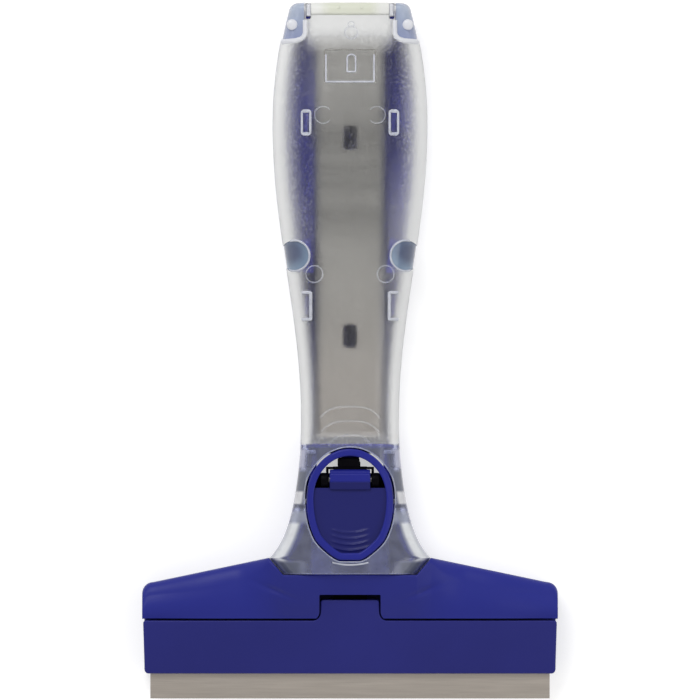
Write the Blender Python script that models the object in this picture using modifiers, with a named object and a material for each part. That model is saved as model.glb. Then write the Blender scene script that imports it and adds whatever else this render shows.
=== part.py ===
"""Glass and tile scraper with a quick-change blade clamp and a drawer of spare blades in its handle.

The scraper lies on its back: the working face looks up along +Z, the handle's end points along +Y
and the blade's edge along -Y. The origin is under the middle of the whole tool. All sizes are metres.
"""

import math

import bmesh
import bpy
from mathutils import Matrix, Vector

# Clearances, and how far a cutter runs past what it cuts
GAP = 0.0003
RUNNING_GAP = 0.00035
OVERRUN = 0.002
NECK_CUT_HALF_WIDTH = 0.011

# How finely round things are drawn, and where an edge counts as sharp
MERGE_DISTANCE = 0.000003
SHARP_DEG = 35.0
BEVEL_DEG = 40.0
BALL_SIDES = 24
BALL_RINGS = 16
BARREL_SIDES = 28
PIN_SIDES = 20
POST_SIDES = 16
LEVER_POINTS = 40
ARC_STEPS = 6
RIB_STEPS = 8
ROUND_TURNS_DEG = (0, 30, 60, 90)
JAW_TURNS_DEG = (0, 45, 90)
TIP_TURNS_DEG = (30, 55, 75, 88)

# Blades, one at work and five spare
BLADE_LENGTH = 0.100
BLADE_DEPTH = 0.018
BLADE_THICKNESS = 0.0003
BLADE_EXPOSED = 0.00625
BLADE_SLOT_SPACING = 0.050
BLADE_SLOT_LENGTH = 0.006
BLADE_SLOT_WIDTH = 0.0035
SPARE_BLADES = 5

# Lengths along the tool: exposed blade, jaw, head and handle add up to the overall length,
# and the handle holds a spare blade and the clamp mechanism below it
JAW_HEIGHT = 0.0135
HEAD_RISE = 0.0115
BLADES_FROM_END = 0.0085
CLAMP_LENGTH = 0.03425
HANDLE_LENGTH = BLADES_FROM_END + BLADE_LENGTH + CLAMP_LENGTH

# Handle outline, as half widths and the distances between them
END_HALF_WIDTH = 0.0151
PALM_HALF_WIDTH = 0.0194
WAIST_HALF_WIDTH = 0.01225
FLARE_HALF_WIDTH = 0.0201
FLARE_FOOT_HALF_WIDTH = 0.0162
PALM_FROM_END = 0.0305
FLARE_FROM_WAIST = 0.0345
FLARE_FOOT = 0.004
WAIST_FROM_PALM = HANDLE_LENGTH - PALM_FROM_END - FLARE_FROM_WAIST - FLARE_FOOT
FLARE_SLOW_SHARE = 0.66
FLARE_QUICK_POWER = 8
END_CORNER = 0.0016

# Handle heights above the back, and the roundness of its section
END_HEIGHT = 0.0195
PALM_HEIGHT = 0.022
NECK_HEIGHT = 0.018
CREST_FROM_END = 0.042
NECK_FROM_CREST = 0.062
SIDE_HEIGHT = 0.010
BACK_SINK = 0.0004
SECTION_POWER = 3.0
SECTION_POINTS = 32
SHELL_WALL = 0.0016
BACK_INSET = 0.0030
BACK_OPENING_HEIGHT = 0.006

# Head: seat behind the blade, housing above it
HEAD_OVERHANG = 0.002
HEAD_HALF_WIDTH = BLADE_LENGTH / 2 + HEAD_OVERHANG
HEAD_CORNER = 0.00275
HEAD_SHOULDER_DROP = 0.0061
HEAD_ROOT_HEIGHT = 0.0165
HEAD_WING_HEIGHT = 0.0125
HEAD_SEAM_HEIGHT = 0.0115
HEAD_TIP_HEIGHT = 0.0100
HEAD_EDGE_ROUND = 0.0016
HEAD_BLEND = 0.013
SEAT_THICKNESS = 0.0046
SEAT_LIP_THICKNESS = 0.0028
SEAT_BEVEL_LENGTH = 0.0065
SEAT_SETBACK = 0.0005
SEAT_INSET = 0.0005
SEAT_HALF_WIDTH = HEAD_HALF_WIDTH - SEAT_INSET
PEG_HEIGHT = 0.0014
JAW_INSET = 0.00025
JAW_HALF_WIDTH = HEAD_HALF_WIDTH - JAW_INSET
JAW_TAPER = 0.0004
JAW_LIP_HEIGHT = 0.0072
JAW_TOP_ROUND = 0.0012
TONGUE_HALF_WIDTH = 0.00735
TONGUE_RISE = 0.00505
TONGUE_GAP = 0.0013
TONGUE_FLARE = 0.002
TONGUE_HEIGHT = 0.0132
SOCKET_DEPTH = 0.0064

# Neck frame: the black moulding that carries the axle and ties the head to the handle
FRAME_HALF_WIDTH = 0.009
FRAME_THICKNESS = 0.0021
FRAME_LENGTH = 0.0322
FRAME_IN_HEAD = 0.0045
FRAME_LEG_INNER = 0.0044
FRAME_LEG_WIDTH = 0.0022
FRAME_LEG_LENGTH = 0.020
EAR_RADIUS = 0.00165
EAR_INNER = 0.00535
EAR_WIDTH = 0.00155
ARM_SETBACK = 0.0030
ARM_DEPTH = 0.0024
ARM_DROP = 0.0015
ARM_TOP_SHARES = ((0.75, 0.55), (1.25, 1.0))
ARM_FOOT_SHARES = ((1.2, 1.5), (0.8, 1.17), (0.4, 0.8))
ARM_HIP_SHARE = 2.6
CROSSBAR_WALL = 0.00045
CROSSBAR_WEB = 0.0003
CROSSBAR_FROM_DEG = -20.0
CROSSBAR_TO_DEG = 50.0
CROSSBAR_WEB_INSET_DEG = 4.0
STEM_HALF_WIDTH = 0.00264
STEM_REACH = 0.0051
STEM_HALF_HEIGHT = 0.0009

# Clamp lever: an oval dished plate on a barrel, with a crank nose below
AXLE_FROM_FLARE = 0.01965
AXLE_DEPTH = 0.0020
AXLE_RADIUS = 0.0008
LEVER_HALF_WIDTH = 0.01088
LEVER_TOP_REACH = 0.01235
LEVER_TAIL_REACH = 0.0157
LEVER_TAIL_CUT = 0.00025
LEVER_CENTRE_FROM_AXLE = 0.00465
LEVER_TAIL_POWER = 2.2
LEVER_RIM = 0.0018
LEVER_PROUD = 0.0003
LEVER_THICKNESS = 0.0037
LEVER_FLOOR = 0.0017
LEVER_WINDOW_SETBACK = 0.0021
LEVER_EDGE_ROUND = 0.0005
LEVER_GAP = 0.00075
THUMB_RIBS = 4
THUMB_RIB_SPACING = 0.0014
THUMB_RIB_HEIGHT = 0.0003
THUMB_RIB_WIDTH = 0.0005
THUMB_RIB_HALF_LENGTH = 0.0045
THUMB_RIB_SAG = 0.0009
THUMB_RIBS_FROM_TAIL = 0.0051
BARREL_RADIUS = 0.0025
BARREL_HALF_LENGTH = 0.00505
CRANK_RADIUS = 0.0036
CRANK_DEG = 45.0
CRANK_NOSE_RADIUS = 0.00075
CRANK_WEB = 0.0011
CRANK_HALF_WIDTH = 0.002

# Draw bar: slides in the neck and pushes the jaw off its seat
DRAW_HALF_WIDTH = 0.0042
DRAW_THICKNESS = 0.0026
DRAW_BLOCK_HALF_WIDTH = 0.0026
DRAW_BLOCK_BACK = 0.0012
DRAW_END_WALL = 0.00078
DRAW_BLOCK_FLOOR = 0.0005
DRAW_END_SETBACK = 0.0012

# Blade drawer: a tray of spare blades with the cap that closes the handle's end
DRAWER_BOTTOM = 0.008
DRAWER_DEPTH = 0.005
DRAWER_FLOOR = 0.0012
DRAWER_WALL = 0.0007
DRAWER_FOOT_WALL = 0.0012
DRAWER_FLOOR_RAIL = 0.0028
DRAWER_FLOOR_BAR = 0.008
FLOOR_WINDOWS = 3
CAP_LENGTH = 0.00285
CAP_HALF_WIDTH = 0.0097
RAIL_FROM_MIDDLE = 0.0072
RAIL_WIDTH = 0.0012

# Snap hooks of the back cover, in sockets of the front shell, and the posts in the end corners
HOOK_FROM_MIDDLE = 0.01035
HOOK_THICKNESS = 0.0008
HOOK_LENGTH = 0.0044
SOCKET_WALL = 0.0006
HOOK_HEIGHT = 0.0146
UPPER_HOOK_FROM_END = 0.0299
LOWER_HOOK_FROM_END = 0.0758
POST_RADIUS = 0.0014
POST_FROM_END = 0.0055
POST_FROM_MIDDLE = 0.01405

# Finger dimples on the sides
DIMPLE_FROM_END = 0.064
DIMPLE_RADIUS = 0.00375
DIMPLE_SINK = 0.0008
DIMPLE_INSET = 0.0036
DIMPLE_LEAN_DEG = 35.0

# Drawer catch: the tongue cut in the front shell
CATCH_HALF_WIDTH = 0.00625
CATCH_LENGTH = 0.0078
CATCH_FROM_END = 0.012
CATCH_TOOTH_DROP = 0.0024
CATCH_TOOTH_WIDTH = 0.0012

# Places along the tool, all worked out from the lengths above
TOTAL_LENGTH = BLADE_EXPOSED + JAW_HEIGHT + HEAD_RISE + HANDLE_LENGTH
END_Y = TOTAL_LENGTH / 2
EDGE_Y = -TOTAL_LENGTH / 2
JAW_BOTTOM_Y = EDGE_Y + BLADE_EXPOSED
SEAM_Y = JAW_BOTTOM_Y + JAW_HEIGHT
HEAD_TOP_Y = SEAM_Y + HEAD_RISE
PALM_Y = END_Y - PALM_FROM_END
WAIST_Y = PALM_Y - WAIST_FROM_PALM
FLARE_Y = WAIST_Y - FLARE_FROM_WAIST
CREST_Y = END_Y - CREST_FROM_END
AXLE = Vector((0, FLARE_Y + AXLE_FROM_FLARE, NECK_HEIGHT - AXLE_DEPTH))
LEVER_CENTRE_Y = AXLE.y - LEVER_CENTRE_FROM_AXLE
LEVER_TAIL_Y = LEVER_CENTRE_Y - LEVER_TAIL_REACH + LEVER_TAIL_CUT
RIM_TOP = NECK_HEIGHT + LEVER_PROUD
LEVER_BOTTOM = RIM_TOP - LEVER_THICKNESS
CAP_Y = END_Y - CAP_LENGTH
BLADES_TOP_Y = END_Y - BLADES_FROM_END
BLADES_Y = BLADES_TOP_Y - BLADE_LENGTH / 2
CATCH_Y = END_Y - CATCH_FROM_END
CATCH_HINGE = Vector((0, CATCH_Y + GAP / 2, PALM_HEIGHT - SHELL_WALL))

# Heights in the head and neck, stacked from the back upwards
BLADE_BACK = SEAT_THICKNESS + GAP
BLADE_FRONT = BLADE_BACK + BLADE_THICKNESS
JAW_BACK = BLADE_FRONT + GAP
FRAME_BOTTOM = SEAT_THICKNESS + GAP
FRAME_TOP = FRAME_BOTTOM + FRAME_THICKNESS
DRAW_BOTTOM = FRAME_TOP + RUNNING_GAP
DRAW_TOP = DRAW_BOTTOM + DRAW_THICKNESS
DRAWER_HALF_WIDTH = BLADE_DEPTH / 2 + GAP + DRAWER_WALL

# How the loft stations are spread along the handle, as shares of each stretch
END_ROUND_SHARES = (0.0, 0.1, 0.35, 1.0)
PALM_STEPS = 5
STRETCH_STEPS = 9
NECK_STEPS = 8
NECK_STEP_POWER = 0.7
WING_SHARES = (0.12, 0.25, 0.4, 0.7, 1.0)


def clear_scene():
    """Start from an empty scene."""
    for old in list(bpy.data.objects):
        bpy.data.objects.remove(old)


def new_collection(name):
    made = bpy.data.collections.new(name)
    bpy.context.scene.collection.children.link(made)
    return made


clear_scene()
PARTS = new_collection("glass_and_tile_scraper")
TOOLS = new_collection("cutters")
TOOLS.hide_render = True


def material(name, colour, roughness, metallic=0.0, transmission=0.0):
    """A Principled material with the piece's colour."""
    made = bpy.data.materials.new(name)
    made.use_nodes = True
    shader = made.node_tree.nodes["Principled BSDF"]
    shader.inputs["Base Color"].default_value = (*colour, 1.0)
    shader.inputs["Roughness"].default_value = roughness
    shader.inputs["Metallic"].default_value = metallic
    shader.inputs["Transmission Weight"].default_value = transmission
    made.diffuse_color = (*colour, 1.0)
    return made


def new_object(name, mesh, finish=None):
    """An object in the parts' collection when it has a finish, and a tool otherwise."""
    made = bpy.data.objects.new(name, mesh)
    (PARTS if finish else TOOLS).objects.link(made)
    if finish:
        mesh.materials.append(finish)
        mesh.shade_smooth()
        mesh.set_sharp_from_angle(angle=math.radians(SHARP_DEG))
    else:
        made.hide_render = True
        made.display_type = "WIRE"
    return made


def object_from(name, shape, finish=None):
    """Turns a bmesh into an object, with every face pointing out."""
    bmesh.ops.recalc_face_normals(shape, faces=shape.faces)
    mesh = bpy.data.meshes.new(name)
    shape.to_mesh(mesh)
    shape.free()
    return new_object(name, mesh, finish)


def box(name, low, high, finish=None):
    """A box between two corners."""
    low, high = Vector(low), Vector(high)
    shape = bmesh.new()
    bmesh.ops.create_cube(shape, size=1.0)
    bmesh.ops.transform(shape, matrix=Matrix.Diagonal((*(high - low), 1.0)), verts=shape.verts)
    bmesh.ops.translate(shape, vec=(low + high) / 2, verts=shape.verts)
    return object_from(name, shape, finish)


def cylinder(name, centre, radius, length, axis, sides, finish=None):
    """A round bar of this length about its centre, along X or Z."""
    turn = Vector((1, 0, 0) if axis == "X" else (0, 0, 1)).to_track_quat("Z", "Y").to_matrix().to_4x4()
    shape = bmesh.new()
    bmesh.ops.create_cone(
        shape, cap_ends=True, segments=sides, radius1=radius, radius2=radius,
        depth=length, matrix=Matrix.Translation(centre) @ turn,
    )
    return object_from(name, shape, finish)


def ball(name, centre, radius):
    """A ball that cutters are made of."""
    shape = bmesh.new()
    bmesh.ops.create_uvsphere(
        shape, u_segments=BALL_SIDES, v_segments=BALL_RINGS, radius=radius, matrix=Matrix.Translation(centre)
    )
    return object_from(name, shape)


def plate(name, outline, low, high, axis="Z", finish=None):
    """A flat outline drawn as a filled 2D curve and extruded between two planes.

    Along Z the outline is (x, y). Along X it is (y, z), and low and high are places along X.
    """
    curve = bpy.data.curves.new(name, "CURVE")
    curve.dimensions = "2D"
    curve.fill_mode = "BOTH"
    curve.extrude = (high - low) / 2
    spline = curve.splines.new("POLY")
    spline.points.add(len(outline) - 1)
    for point, (u, v) in zip(spline.points, outline):
        point.co = (u, v, 0.0, 1.0)
    spline.use_cyclic_u = True
    drawn = bpy.data.objects.new(name + "_curve", curve)
    TOOLS.objects.link(drawn)
    graph = bpy.context.evaluated_depsgraph_get()
    mesh = bpy.data.meshes.new_from_object(drawn.evaluated_get(graph))
    bpy.data.objects.remove(drawn)
    shape = bmesh.new()
    shape.from_mesh(mesh)
    bmesh.ops.remove_doubles(shape, verts=shape.verts, dist=MERGE_DISTANCE)
    bmesh.ops.translate(shape, vec=(0, 0, (low + high) / 2), verts=shape.verts)
    if axis == "X":
        stand_up = Matrix(((0, 0, 1, 0), (1, 0, 0, 0), (0, 1, 0, 0), (0, 0, 0, 1)))
        bmesh.ops.transform(shape, matrix=stand_up, verts=shape.verts)
    mesh.materials.clear()
    return object_from(name, shape, finish)


def loft(name, loops, finish=None):
    """A closed body through loops that all have the same number of points."""
    shape = bmesh.new()
    rings = [[shape.verts.new(point) for point in loop] for loop in loops]
    count = len(rings[0])
    for this, following in zip(rings, rings[1:]):
        for i in range(count):
            after = (i + 1) % count
            shape.faces.new((this[i], this[after], following[after], following[i]))
    shape.faces.new(rings[0])
    shape.faces.new(rings[-1])
    return object_from(name, shape, finish)


def combine(piece, operation, *others):
    """Booleans with each of the others in turn."""
    for other in others:
        modifier = piece.modifiers.new(operation.lower() + "_" + other.name, "BOOLEAN")
        modifier.operation = operation
        modifier.object = other
        modifier.solver = "EXACT"
    return piece


def soften(piece, width, segments=2):
    modifier = piece.modifiers.new("edge_round", "BEVEL")
    modifier.width = width
    modifier.segments = segments
    modifier.limit_method = "ANGLE"
    modifier.angle_limit = math.radians(BEVEL_DEG)
    return piece


def both_sides(make, name):
    """Calls make(name, side) for the left and right of the tool."""
    return [make(f"{name}_{word}", side) for word, side in (("left", -1), ("right", 1))]


def spanned(side, near, far):
    """The low and high X of something that lies between two distances from the middle."""
    return tuple(sorted((side * near, side * far)))


def eased(share):
    """Runs from 0 to 1 with level ends, as the share does."""
    return (1 - math.cos(math.pi * min(max(share, 0.0), 1.0))) / 2


def corner_loss(distance):
    """How far a rounded end corner has drawn in, at this distance from the handle's end."""
    if distance >= END_CORNER:
        return 0.0
    short = END_CORNER - max(distance, 0.0)
    return END_CORNER - math.sqrt(END_CORNER**2 - short**2)


def half_width(y):
    """The handle's half width: end, palm, waist and flare, with eased stretches between them."""
    if y >= PALM_Y:
        share = (y - PALM_Y) / PALM_FROM_END
        return PALM_HALF_WIDTH - (PALM_HALF_WIDTH - END_HALF_WIDTH) * share**2 - corner_loss(END_Y - y)
    if y >= WAIST_Y:
        share = eased((PALM_Y - y) / WAIST_FROM_PALM)
        return PALM_HALF_WIDTH + (WAIST_HALF_WIDTH - PALM_HALF_WIDTH) * share
    if y >= FLARE_Y:
        share = (WAIST_Y - y) / FLARE_FROM_WAIST
        spread = FLARE_SLOW_SHARE * share**2 + (1 - FLARE_SLOW_SHARE) * share**FLARE_QUICK_POWER
        return WAIST_HALF_WIDTH + (FLARE_HALF_WIDTH - WAIST_HALF_WIDTH) * spread
    share = (FLARE_Y - y) / (FLARE_Y - HEAD_TOP_Y)
    return FLARE_HALF_WIDTH + (FLARE_FOOT_HALF_WIDTH - FLARE_HALF_WIDTH) * share


def front_height(y):
    """Height of the handle's crest line above its back."""
    if y >= CREST_Y:
        share = eased((y - CREST_Y) / CREST_FROM_END)
        return PALM_HEIGHT + (END_HEIGHT - PALM_HEIGHT) * share - corner_loss(END_Y - y)
    share = eased((CREST_Y - y) / NECK_FROM_CREST)
    return PALM_HEIGHT + (NECK_HEIGHT - PALM_HEIGHT) * share


def handle_section(y, inset, at=None):
    """The handle's closed section, drawn in by the inset: a superellipse with a flat back."""
    across = half_width(y) - inset
    front = front_height(y) - inset - SIDE_HEIGHT
    back = SIDE_HEIGHT + BACK_SINK - inset
    lowest = inset + (corner_loss(END_Y - y) if inset == 0 else 0)
    loop = []
    for i in range(SECTION_POINTS):
        angle = 2 * math.pi * i / SECTION_POINTS
        x = math.copysign(abs(math.cos(angle)) ** (2 / SECTION_POWER), math.cos(angle)) * across
        rise = abs(math.sin(angle)) ** (2 / SECTION_POWER)
        z = SIDE_HEIGHT + (front * rise if math.sin(angle) >= 0 else -back * rise)
        loop.append(Vector((x, y if at is None else at, max(z, lowest))))
    return loop


def handle_stations():
    """Places along Y where the handle's sections stand, from its end to the head."""
    places = [END_Y - END_CORNER * share for share in END_ROUND_SHARES]
    places += [
        END_Y - END_CORNER - (PALM_FROM_END - END_CORNER) * i / PALM_STEPS
        for i in range(1, PALM_STEPS + 1)
    ]
    places += [PALM_Y - WAIST_FROM_PALM * i / STRETCH_STEPS for i in range(1, STRETCH_STEPS + 1)]
    places += [
        WAIST_Y - FLARE_FROM_WAIST * (i / NECK_STEPS) ** NECK_STEP_POWER
        for i in range(1, NECK_STEPS + 1)
    ]
    return places + [HEAD_TOP_Y]


def handle_body(name):
    """The whole handle as one closed body."""
    return loft(name, [handle_section(y, 0.0) for y in handle_stations()])


def handle_hollow(name):
    """The room inside the handle: closed at the handle's end, open at the head."""
    inner = [y for y in handle_stations() if y <= END_Y - END_CORNER]
    loops = [handle_section(y, SHELL_WALL) for y in inner]
    loops.append(handle_section(HEAD_TOP_Y, SHELL_WALL, HEAD_TOP_Y - OVERRUN))
    return loft(name, loops)


def back_panel(name, clearance, low, high):
    """The back opening's outline as a body: it follows the handle, drawn in by the inset."""
    top = CAP_Y - SHELL_WALL + GAP - clearance
    places = [top] + [y for y in handle_stations() if y < top]
    loops = []
    for y in places:
        half = half_width(y) - BACK_INSET - clearance
        loops.append([Vector((x, y, z)) for x, z in ((half, low), (half, high), (-half, high), (-half, low))])
    last = [Vector((point.x, HEAD_TOP_Y - OVERRUN, point.z)) for point in loops[-1]]
    return loft(name, loops + [last])


def lever_outline(grow=0.0):
    """The lever's oval: a half ellipse on top, and a slower, cut-off tail."""
    points = []
    tail = LEVER_TAIL_Y - grow
    for i in range(LEVER_POINTS):
        angle = 2 * math.pi * (i + 0.5) / LEVER_POINTS
        across, along = math.cos(angle), math.sin(angle)
        if along >= 0:
            x = across * (LEVER_HALF_WIDTH + grow)
            y = LEVER_CENTRE_Y + along * (LEVER_TOP_REACH + grow)
            points.append((x, y))
            continue
        x = math.copysign(abs(across) ** (2 / LEVER_TAIL_POWER), across) * (LEVER_HALF_WIDTH + grow)
        y = LEVER_CENTRE_Y - abs(along) ** (2 / LEVER_TAIL_POWER) * (LEVER_TAIL_REACH + grow)
        points.append((x, max(y, tail)))
    return points


def hook_places():
    """Centre Y of the upper and the lower pair of snap hooks."""
    return (("upper", END_Y - UPPER_HOOK_FROM_END), ("lower", END_Y - LOWER_HOOK_FROM_END))


def socket_frame(name, side, y):
    """A rectangular sleeve that hangs from the front wall and takes one snap hook."""
    near = HOOK_FROM_MIDDLE - GAP
    far = HOOK_FROM_MIDDLE + HOOK_THICKNESS + GAP
    half = HOOK_LENGTH / 2 + GAP
    bottom = DRAWER_BOTTOM + DRAWER_DEPTH + 2 * GAP
    top = front_height(y) - SHELL_WALL / 2
    x0, x1 = spanned(side, near - SOCKET_WALL, far + SOCKET_WALL)
    sleeve = box(name, (x0, y - half - SOCKET_WALL, bottom), (x1, y + half + SOCKET_WALL, top))
    x0, x1 = spanned(side, near, far)
    bore = box(name + "_bore", (x0, y - half, bottom - OVERRUN), (x1, y + half, top - SHELL_WALL))
    combine(sleeve, "DIFFERENCE", bore)
    return combine(sleeve, "INTERSECT", handle_body(name + "_trim"))


def end_post(name, side):
    """A round post under the front wall in a corner of the handle's end."""
    y = END_Y - POST_FROM_END
    bottom = SIDE_HEIGHT + BACK_INSET
    top = front_height(y)
    centre = Vector((side * POST_FROM_MIDDLE, y, (bottom + top) / 2))
    post = cylinder(name, centre, POST_RADIUS, top - bottom, "Z", POST_SIDES)
    return combine(post, "INTERSECT", handle_body(name + "_trim"))


def dimple(name, side):
    """A ball that presses a shallow finger dimple into the shell's shoulder."""
    y = END_Y - DIMPLE_FROM_END
    radius = (DIMPLE_RADIUS**2 + DIMPLE_SINK**2) / (2 * DIMPLE_SINK)
    x = half_width(y) - DIMPLE_INSET
    share = 1 - (x / half_width(y)) ** SECTION_POWER
    surface = SIDE_HEIGHT + (front_height(y) - SIDE_HEIGHT) * share ** (1 / SECTION_POWER)
    lean = math.radians(DIMPLE_LEAN_DEG) * side
    out = Vector((math.sin(lean), 0, math.cos(lean)))
    centre = Vector((side * x, y, surface)) + out * (radius - DIMPLE_SINK)
    return ball(name, centre, radius)


def catch_window(name, clearance):
    """The tongue's room in the front wall, a box with a gap all round."""
    low = SIDE_HEIGHT + BACK_INSET
    half = CATCH_HALF_WIDTH + clearance
    foot = CATCH_Y - CATCH_LENGTH - clearance
    return box(name, (-half, foot, low), (half, CATCH_Y + clearance, PALM_HEIGHT + OVERRUN))


def handle_front_shell(finish):
    """The clear moulding: front, both sides and a rim round the back cover."""
    shell = loft("handle_front_shell", [handle_section(y, 0.0) for y in handle_stations()], finish)
    combine(shell, "DIFFERENCE", handle_hollow("front_hollow"))
    half = DRAWER_HALF_WIDTH + RUNNING_GAP
    floor = DRAWER_BOTTOM - RUNNING_GAP
    mouth = box("drawer_mouth", (-half, CAP_Y - GAP, floor), (half, END_Y + OVERRUN, PALM_HEIGHT))
    passage = box(
        "drawer_passage",
        (-half, CAP_Y - 2 * SHELL_WALL, floor),
        (half, END_Y + OVERRUN, DRAWER_BOTTOM + DRAWER_DEPTH + RUNNING_GAP),
    )
    opening = plate("lever_opening", lever_outline(LEVER_GAP), SIDE_HEIGHT, PALM_HEIGHT)
    panel = back_panel("back_opening", 0.0, -OVERRUN, BACK_OPENING_HEIGHT)
    combine(shell, "DIFFERENCE", panel, mouth, passage, opening, catch_window("catch_opening", GAP))
    combine(shell, "DIFFERENCE", *both_sides(dimple, "dimple"))
    for word, y in hook_places():
        for frame in both_sides(lambda name, side, y=y: socket_frame(name, side, y), f"socket_{word}"):
            combine(shell, "UNION", frame)
    return combine(shell, "UNION", *both_sides(end_post, "end_post"))


def rail(name, side):
    """A rib along the back cover that carries the drawer."""
    x0, x1 = spanned(side, RAIL_FROM_MIDDLE, RAIL_FROM_MIDDLE + RAIL_WIDTH)
    top = DRAWER_BOTTOM - RUNNING_GAP
    return box(name, (x0, BLADES_Y - BLADE_LENGTH / 2, SHELL_WALL / 2), (x1, BLADES_TOP_Y, top))


def snap_hook(name, side, y):
    """A flat snap hook that stands on the back cover and enters its socket."""
    x0, x1 = spanned(side, HOOK_FROM_MIDDLE, HOOK_FROM_MIDDLE + HOOK_THICKNESS)
    half = HOOK_LENGTH / 2
    return box(name, (x0, y - half, SHELL_WALL / 2), (x1, y + half, HOOK_HEIGHT))


def handle_back_cover(finish):
    """The blue panel that closes the back, with the drawer's rails and the snap hooks."""
    cover = loft("handle_back_cover", [handle_section(y, 0.0) for y in handle_stations()], finish)
    panel = back_panel("back_panel", GAP, -OVERRUN, SIDE_HEIGHT)
    combine(cover, "INTERSECT", panel)
    combine(cover, "DIFFERENCE", handle_hollow("back_hollow"))
    combine(cover, "UNION", *both_sides(rail, "rail"))
    for word, y in hook_places():
        for hook in both_sides(lambda name, side, y=y: snap_hook(name, side, y), f"hook_{word}"):
            combine(cover, "UNION", hook)
    return cover


def head_top(x):
    """Y of the head's upper edge: flat under the neck, up round the flare, then down the wing."""
    flat = HEAD_TOP_Y - GAP
    if x <= FLARE_FOOT_HALF_WIDTH:
        return flat
    peak_x = FLARE_HALF_WIDTH + GAP
    if x <= peak_x:
        return flat + (FLARE_Y - flat) * (x - FLARE_FOOT_HALF_WIDTH) / (peak_x - FLARE_FOOT_HALF_WIDTH)
    corner_x = HEAD_HALF_WIDTH - HEAD_CORNER
    if x <= corner_x:
        return FLARE_Y - HEAD_SHOULDER_DROP * (x - peak_x) / (corner_x - peak_x)
    past = min(x - corner_x, HEAD_CORNER)
    return FLARE_Y - HEAD_SHOULDER_DROP - HEAD_CORNER + math.sqrt(HEAD_CORNER**2 - past**2)


def head_stations():
    """Places along X where the head's sections stand, with more where its outline turns."""
    peak_x = FLARE_HALF_WIDTH + GAP
    corner_x = HEAD_HALF_WIDTH - HEAD_CORNER
    half = [0.0, FLARE_FOOT_HALF_WIDTH, (FLARE_FOOT_HALF_WIDTH + peak_x) / 2, peak_x]
    half += [peak_x + (corner_x - peak_x) * share for share in WING_SHARES]
    half += [corner_x + HEAD_CORNER * math.sin(math.radians(angle)) for angle in TIP_TURNS_DEG]
    return [-x for x in reversed(half[1:])] + half


def head_section(x):
    """The housing's section at one X: a rounded upper edge, then a slope down to the seam."""
    away = abs(x)
    top = head_top(away)
    blend = eased((away - FLARE_FOOT_HALF_WIDTH) / HEAD_BLEND)
    tip = eased((away - FLARE_HALF_WIDTH - HEAD_BLEND) / (HEAD_HALF_WIDTH - FLARE_HALF_WIDTH - HEAD_BLEND))
    crest = HEAD_ROOT_HEIGHT + (HEAD_WING_HEIGHT - HEAD_ROOT_HEIGHT) * blend
    crest += (HEAD_TIP_HEIGHT - HEAD_WING_HEIGHT) * tip
    foot = HEAD_SEAM_HEIGHT + (HEAD_TIP_HEIGHT - HEAD_SEAM_HEIGHT) * tip
    bottom = SEAT_THICKNESS + GAP
    seam = SEAM_Y + GAP / 2
    rounds = []
    for angle in ROUND_TURNS_DEG:
        turn = math.radians(angle)
        y = top - HEAD_EDGE_ROUND * (1 - math.cos(turn))
        rounds.append((y, crest - HEAD_EDGE_ROUND * (1 - math.sin(turn))))
    slope = ((top + seam) / 2, (crest + foot) / 2 + GAP)
    outline = [(seam, bottom), (top, bottom), *rounds, slope, (seam, foot)]
    return [Vector((x, y, z)) for y, z in outline]


def tongue_outline(clearance):
    """The jaw's tongue from above, with its flared root, as the notch in the housing repeats it."""
    half = TONGUE_HALF_WIDTH + clearance
    flare = TONGUE_FLARE + clearance
    top = SEAM_Y + TONGUE_RISE + (TONGUE_GAP if clearance else 0)
    root = SEAM_Y - (0 if clearance else GAP)
    right = [(half, top)]
    for angle in ROUND_TURNS_DEG:
        turn = math.radians(angle)
        right.append((half + flare * (1 - math.cos(turn)), root + TONGUE_FLARE * (1 - math.sin(turn))))
    right.append((half + flare, root - OVERRUN))
    return right + [(-x, y) for x, y in reversed(right)]


def head_housing(finish):
    """The blue cap of the head, with the jaw's notch and the draw bar's channel cut in it."""
    housing = loft("head_housing", [head_section(x) for x in head_stations()], finish)
    notch = plate("tongue_notch", tongue_outline(GAP), 0.0, PALM_HEIGHT)
    wide = FRAME_HALF_WIDTH + GAP
    frame_room = box(
        "frame_room", (-wide, HEAD_TOP_Y - FRAME_IN_HEAD - GAP, 0.0), (wide, FLARE_Y, FRAME_TOP + GAP)
    )
    narrow = DRAW_HALF_WIDTH + GAP
    bar_room = box("bar_room", (-narrow, SEAM_Y, 0.0), (narrow, FLARE_Y, DRAW_TOP + GAP))
    return combine(housing, "DIFFERENCE", notch, frame_room, bar_room)


def blade_seat(finish):
    """The flat plate behind the blade, thinned towards the edge, with two pegs for the blade's slots."""
    foot = JAW_BOTTOM_Y + SEAT_SETBACK
    outline = []
    for x in head_stations():
        outline.append((x * SEAT_HALF_WIDTH / HEAD_HALF_WIDTH, head_top(abs(x))))
    outline += [(SEAT_HALF_WIDTH, foot), (-SEAT_HALF_WIDTH, foot)]
    seat = plate("blade_seat", outline, 0.0, SEAT_THICKNESS, finish=finish)
    bevel_outline = [
        (foot + SEAT_BEVEL_LENGTH, 0.0),
        (foot - OVERRUN, (SEAT_THICKNESS - SEAT_LIP_THICKNESS) * (1 + OVERRUN / SEAT_BEVEL_LENGTH)),
        (foot - OVERRUN, -OVERRUN),
        (foot + SEAT_BEVEL_LENGTH, -OVERRUN),
    ]
    bevel = plate("seat_bevel", bevel_outline, -HEAD_HALF_WIDTH, HEAD_HALF_WIDTH, "X")
    combine(seat, "DIFFERENCE", bevel)
    return combine(seat, "UNION", *both_sides(seat_peg, "peg"))


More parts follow.
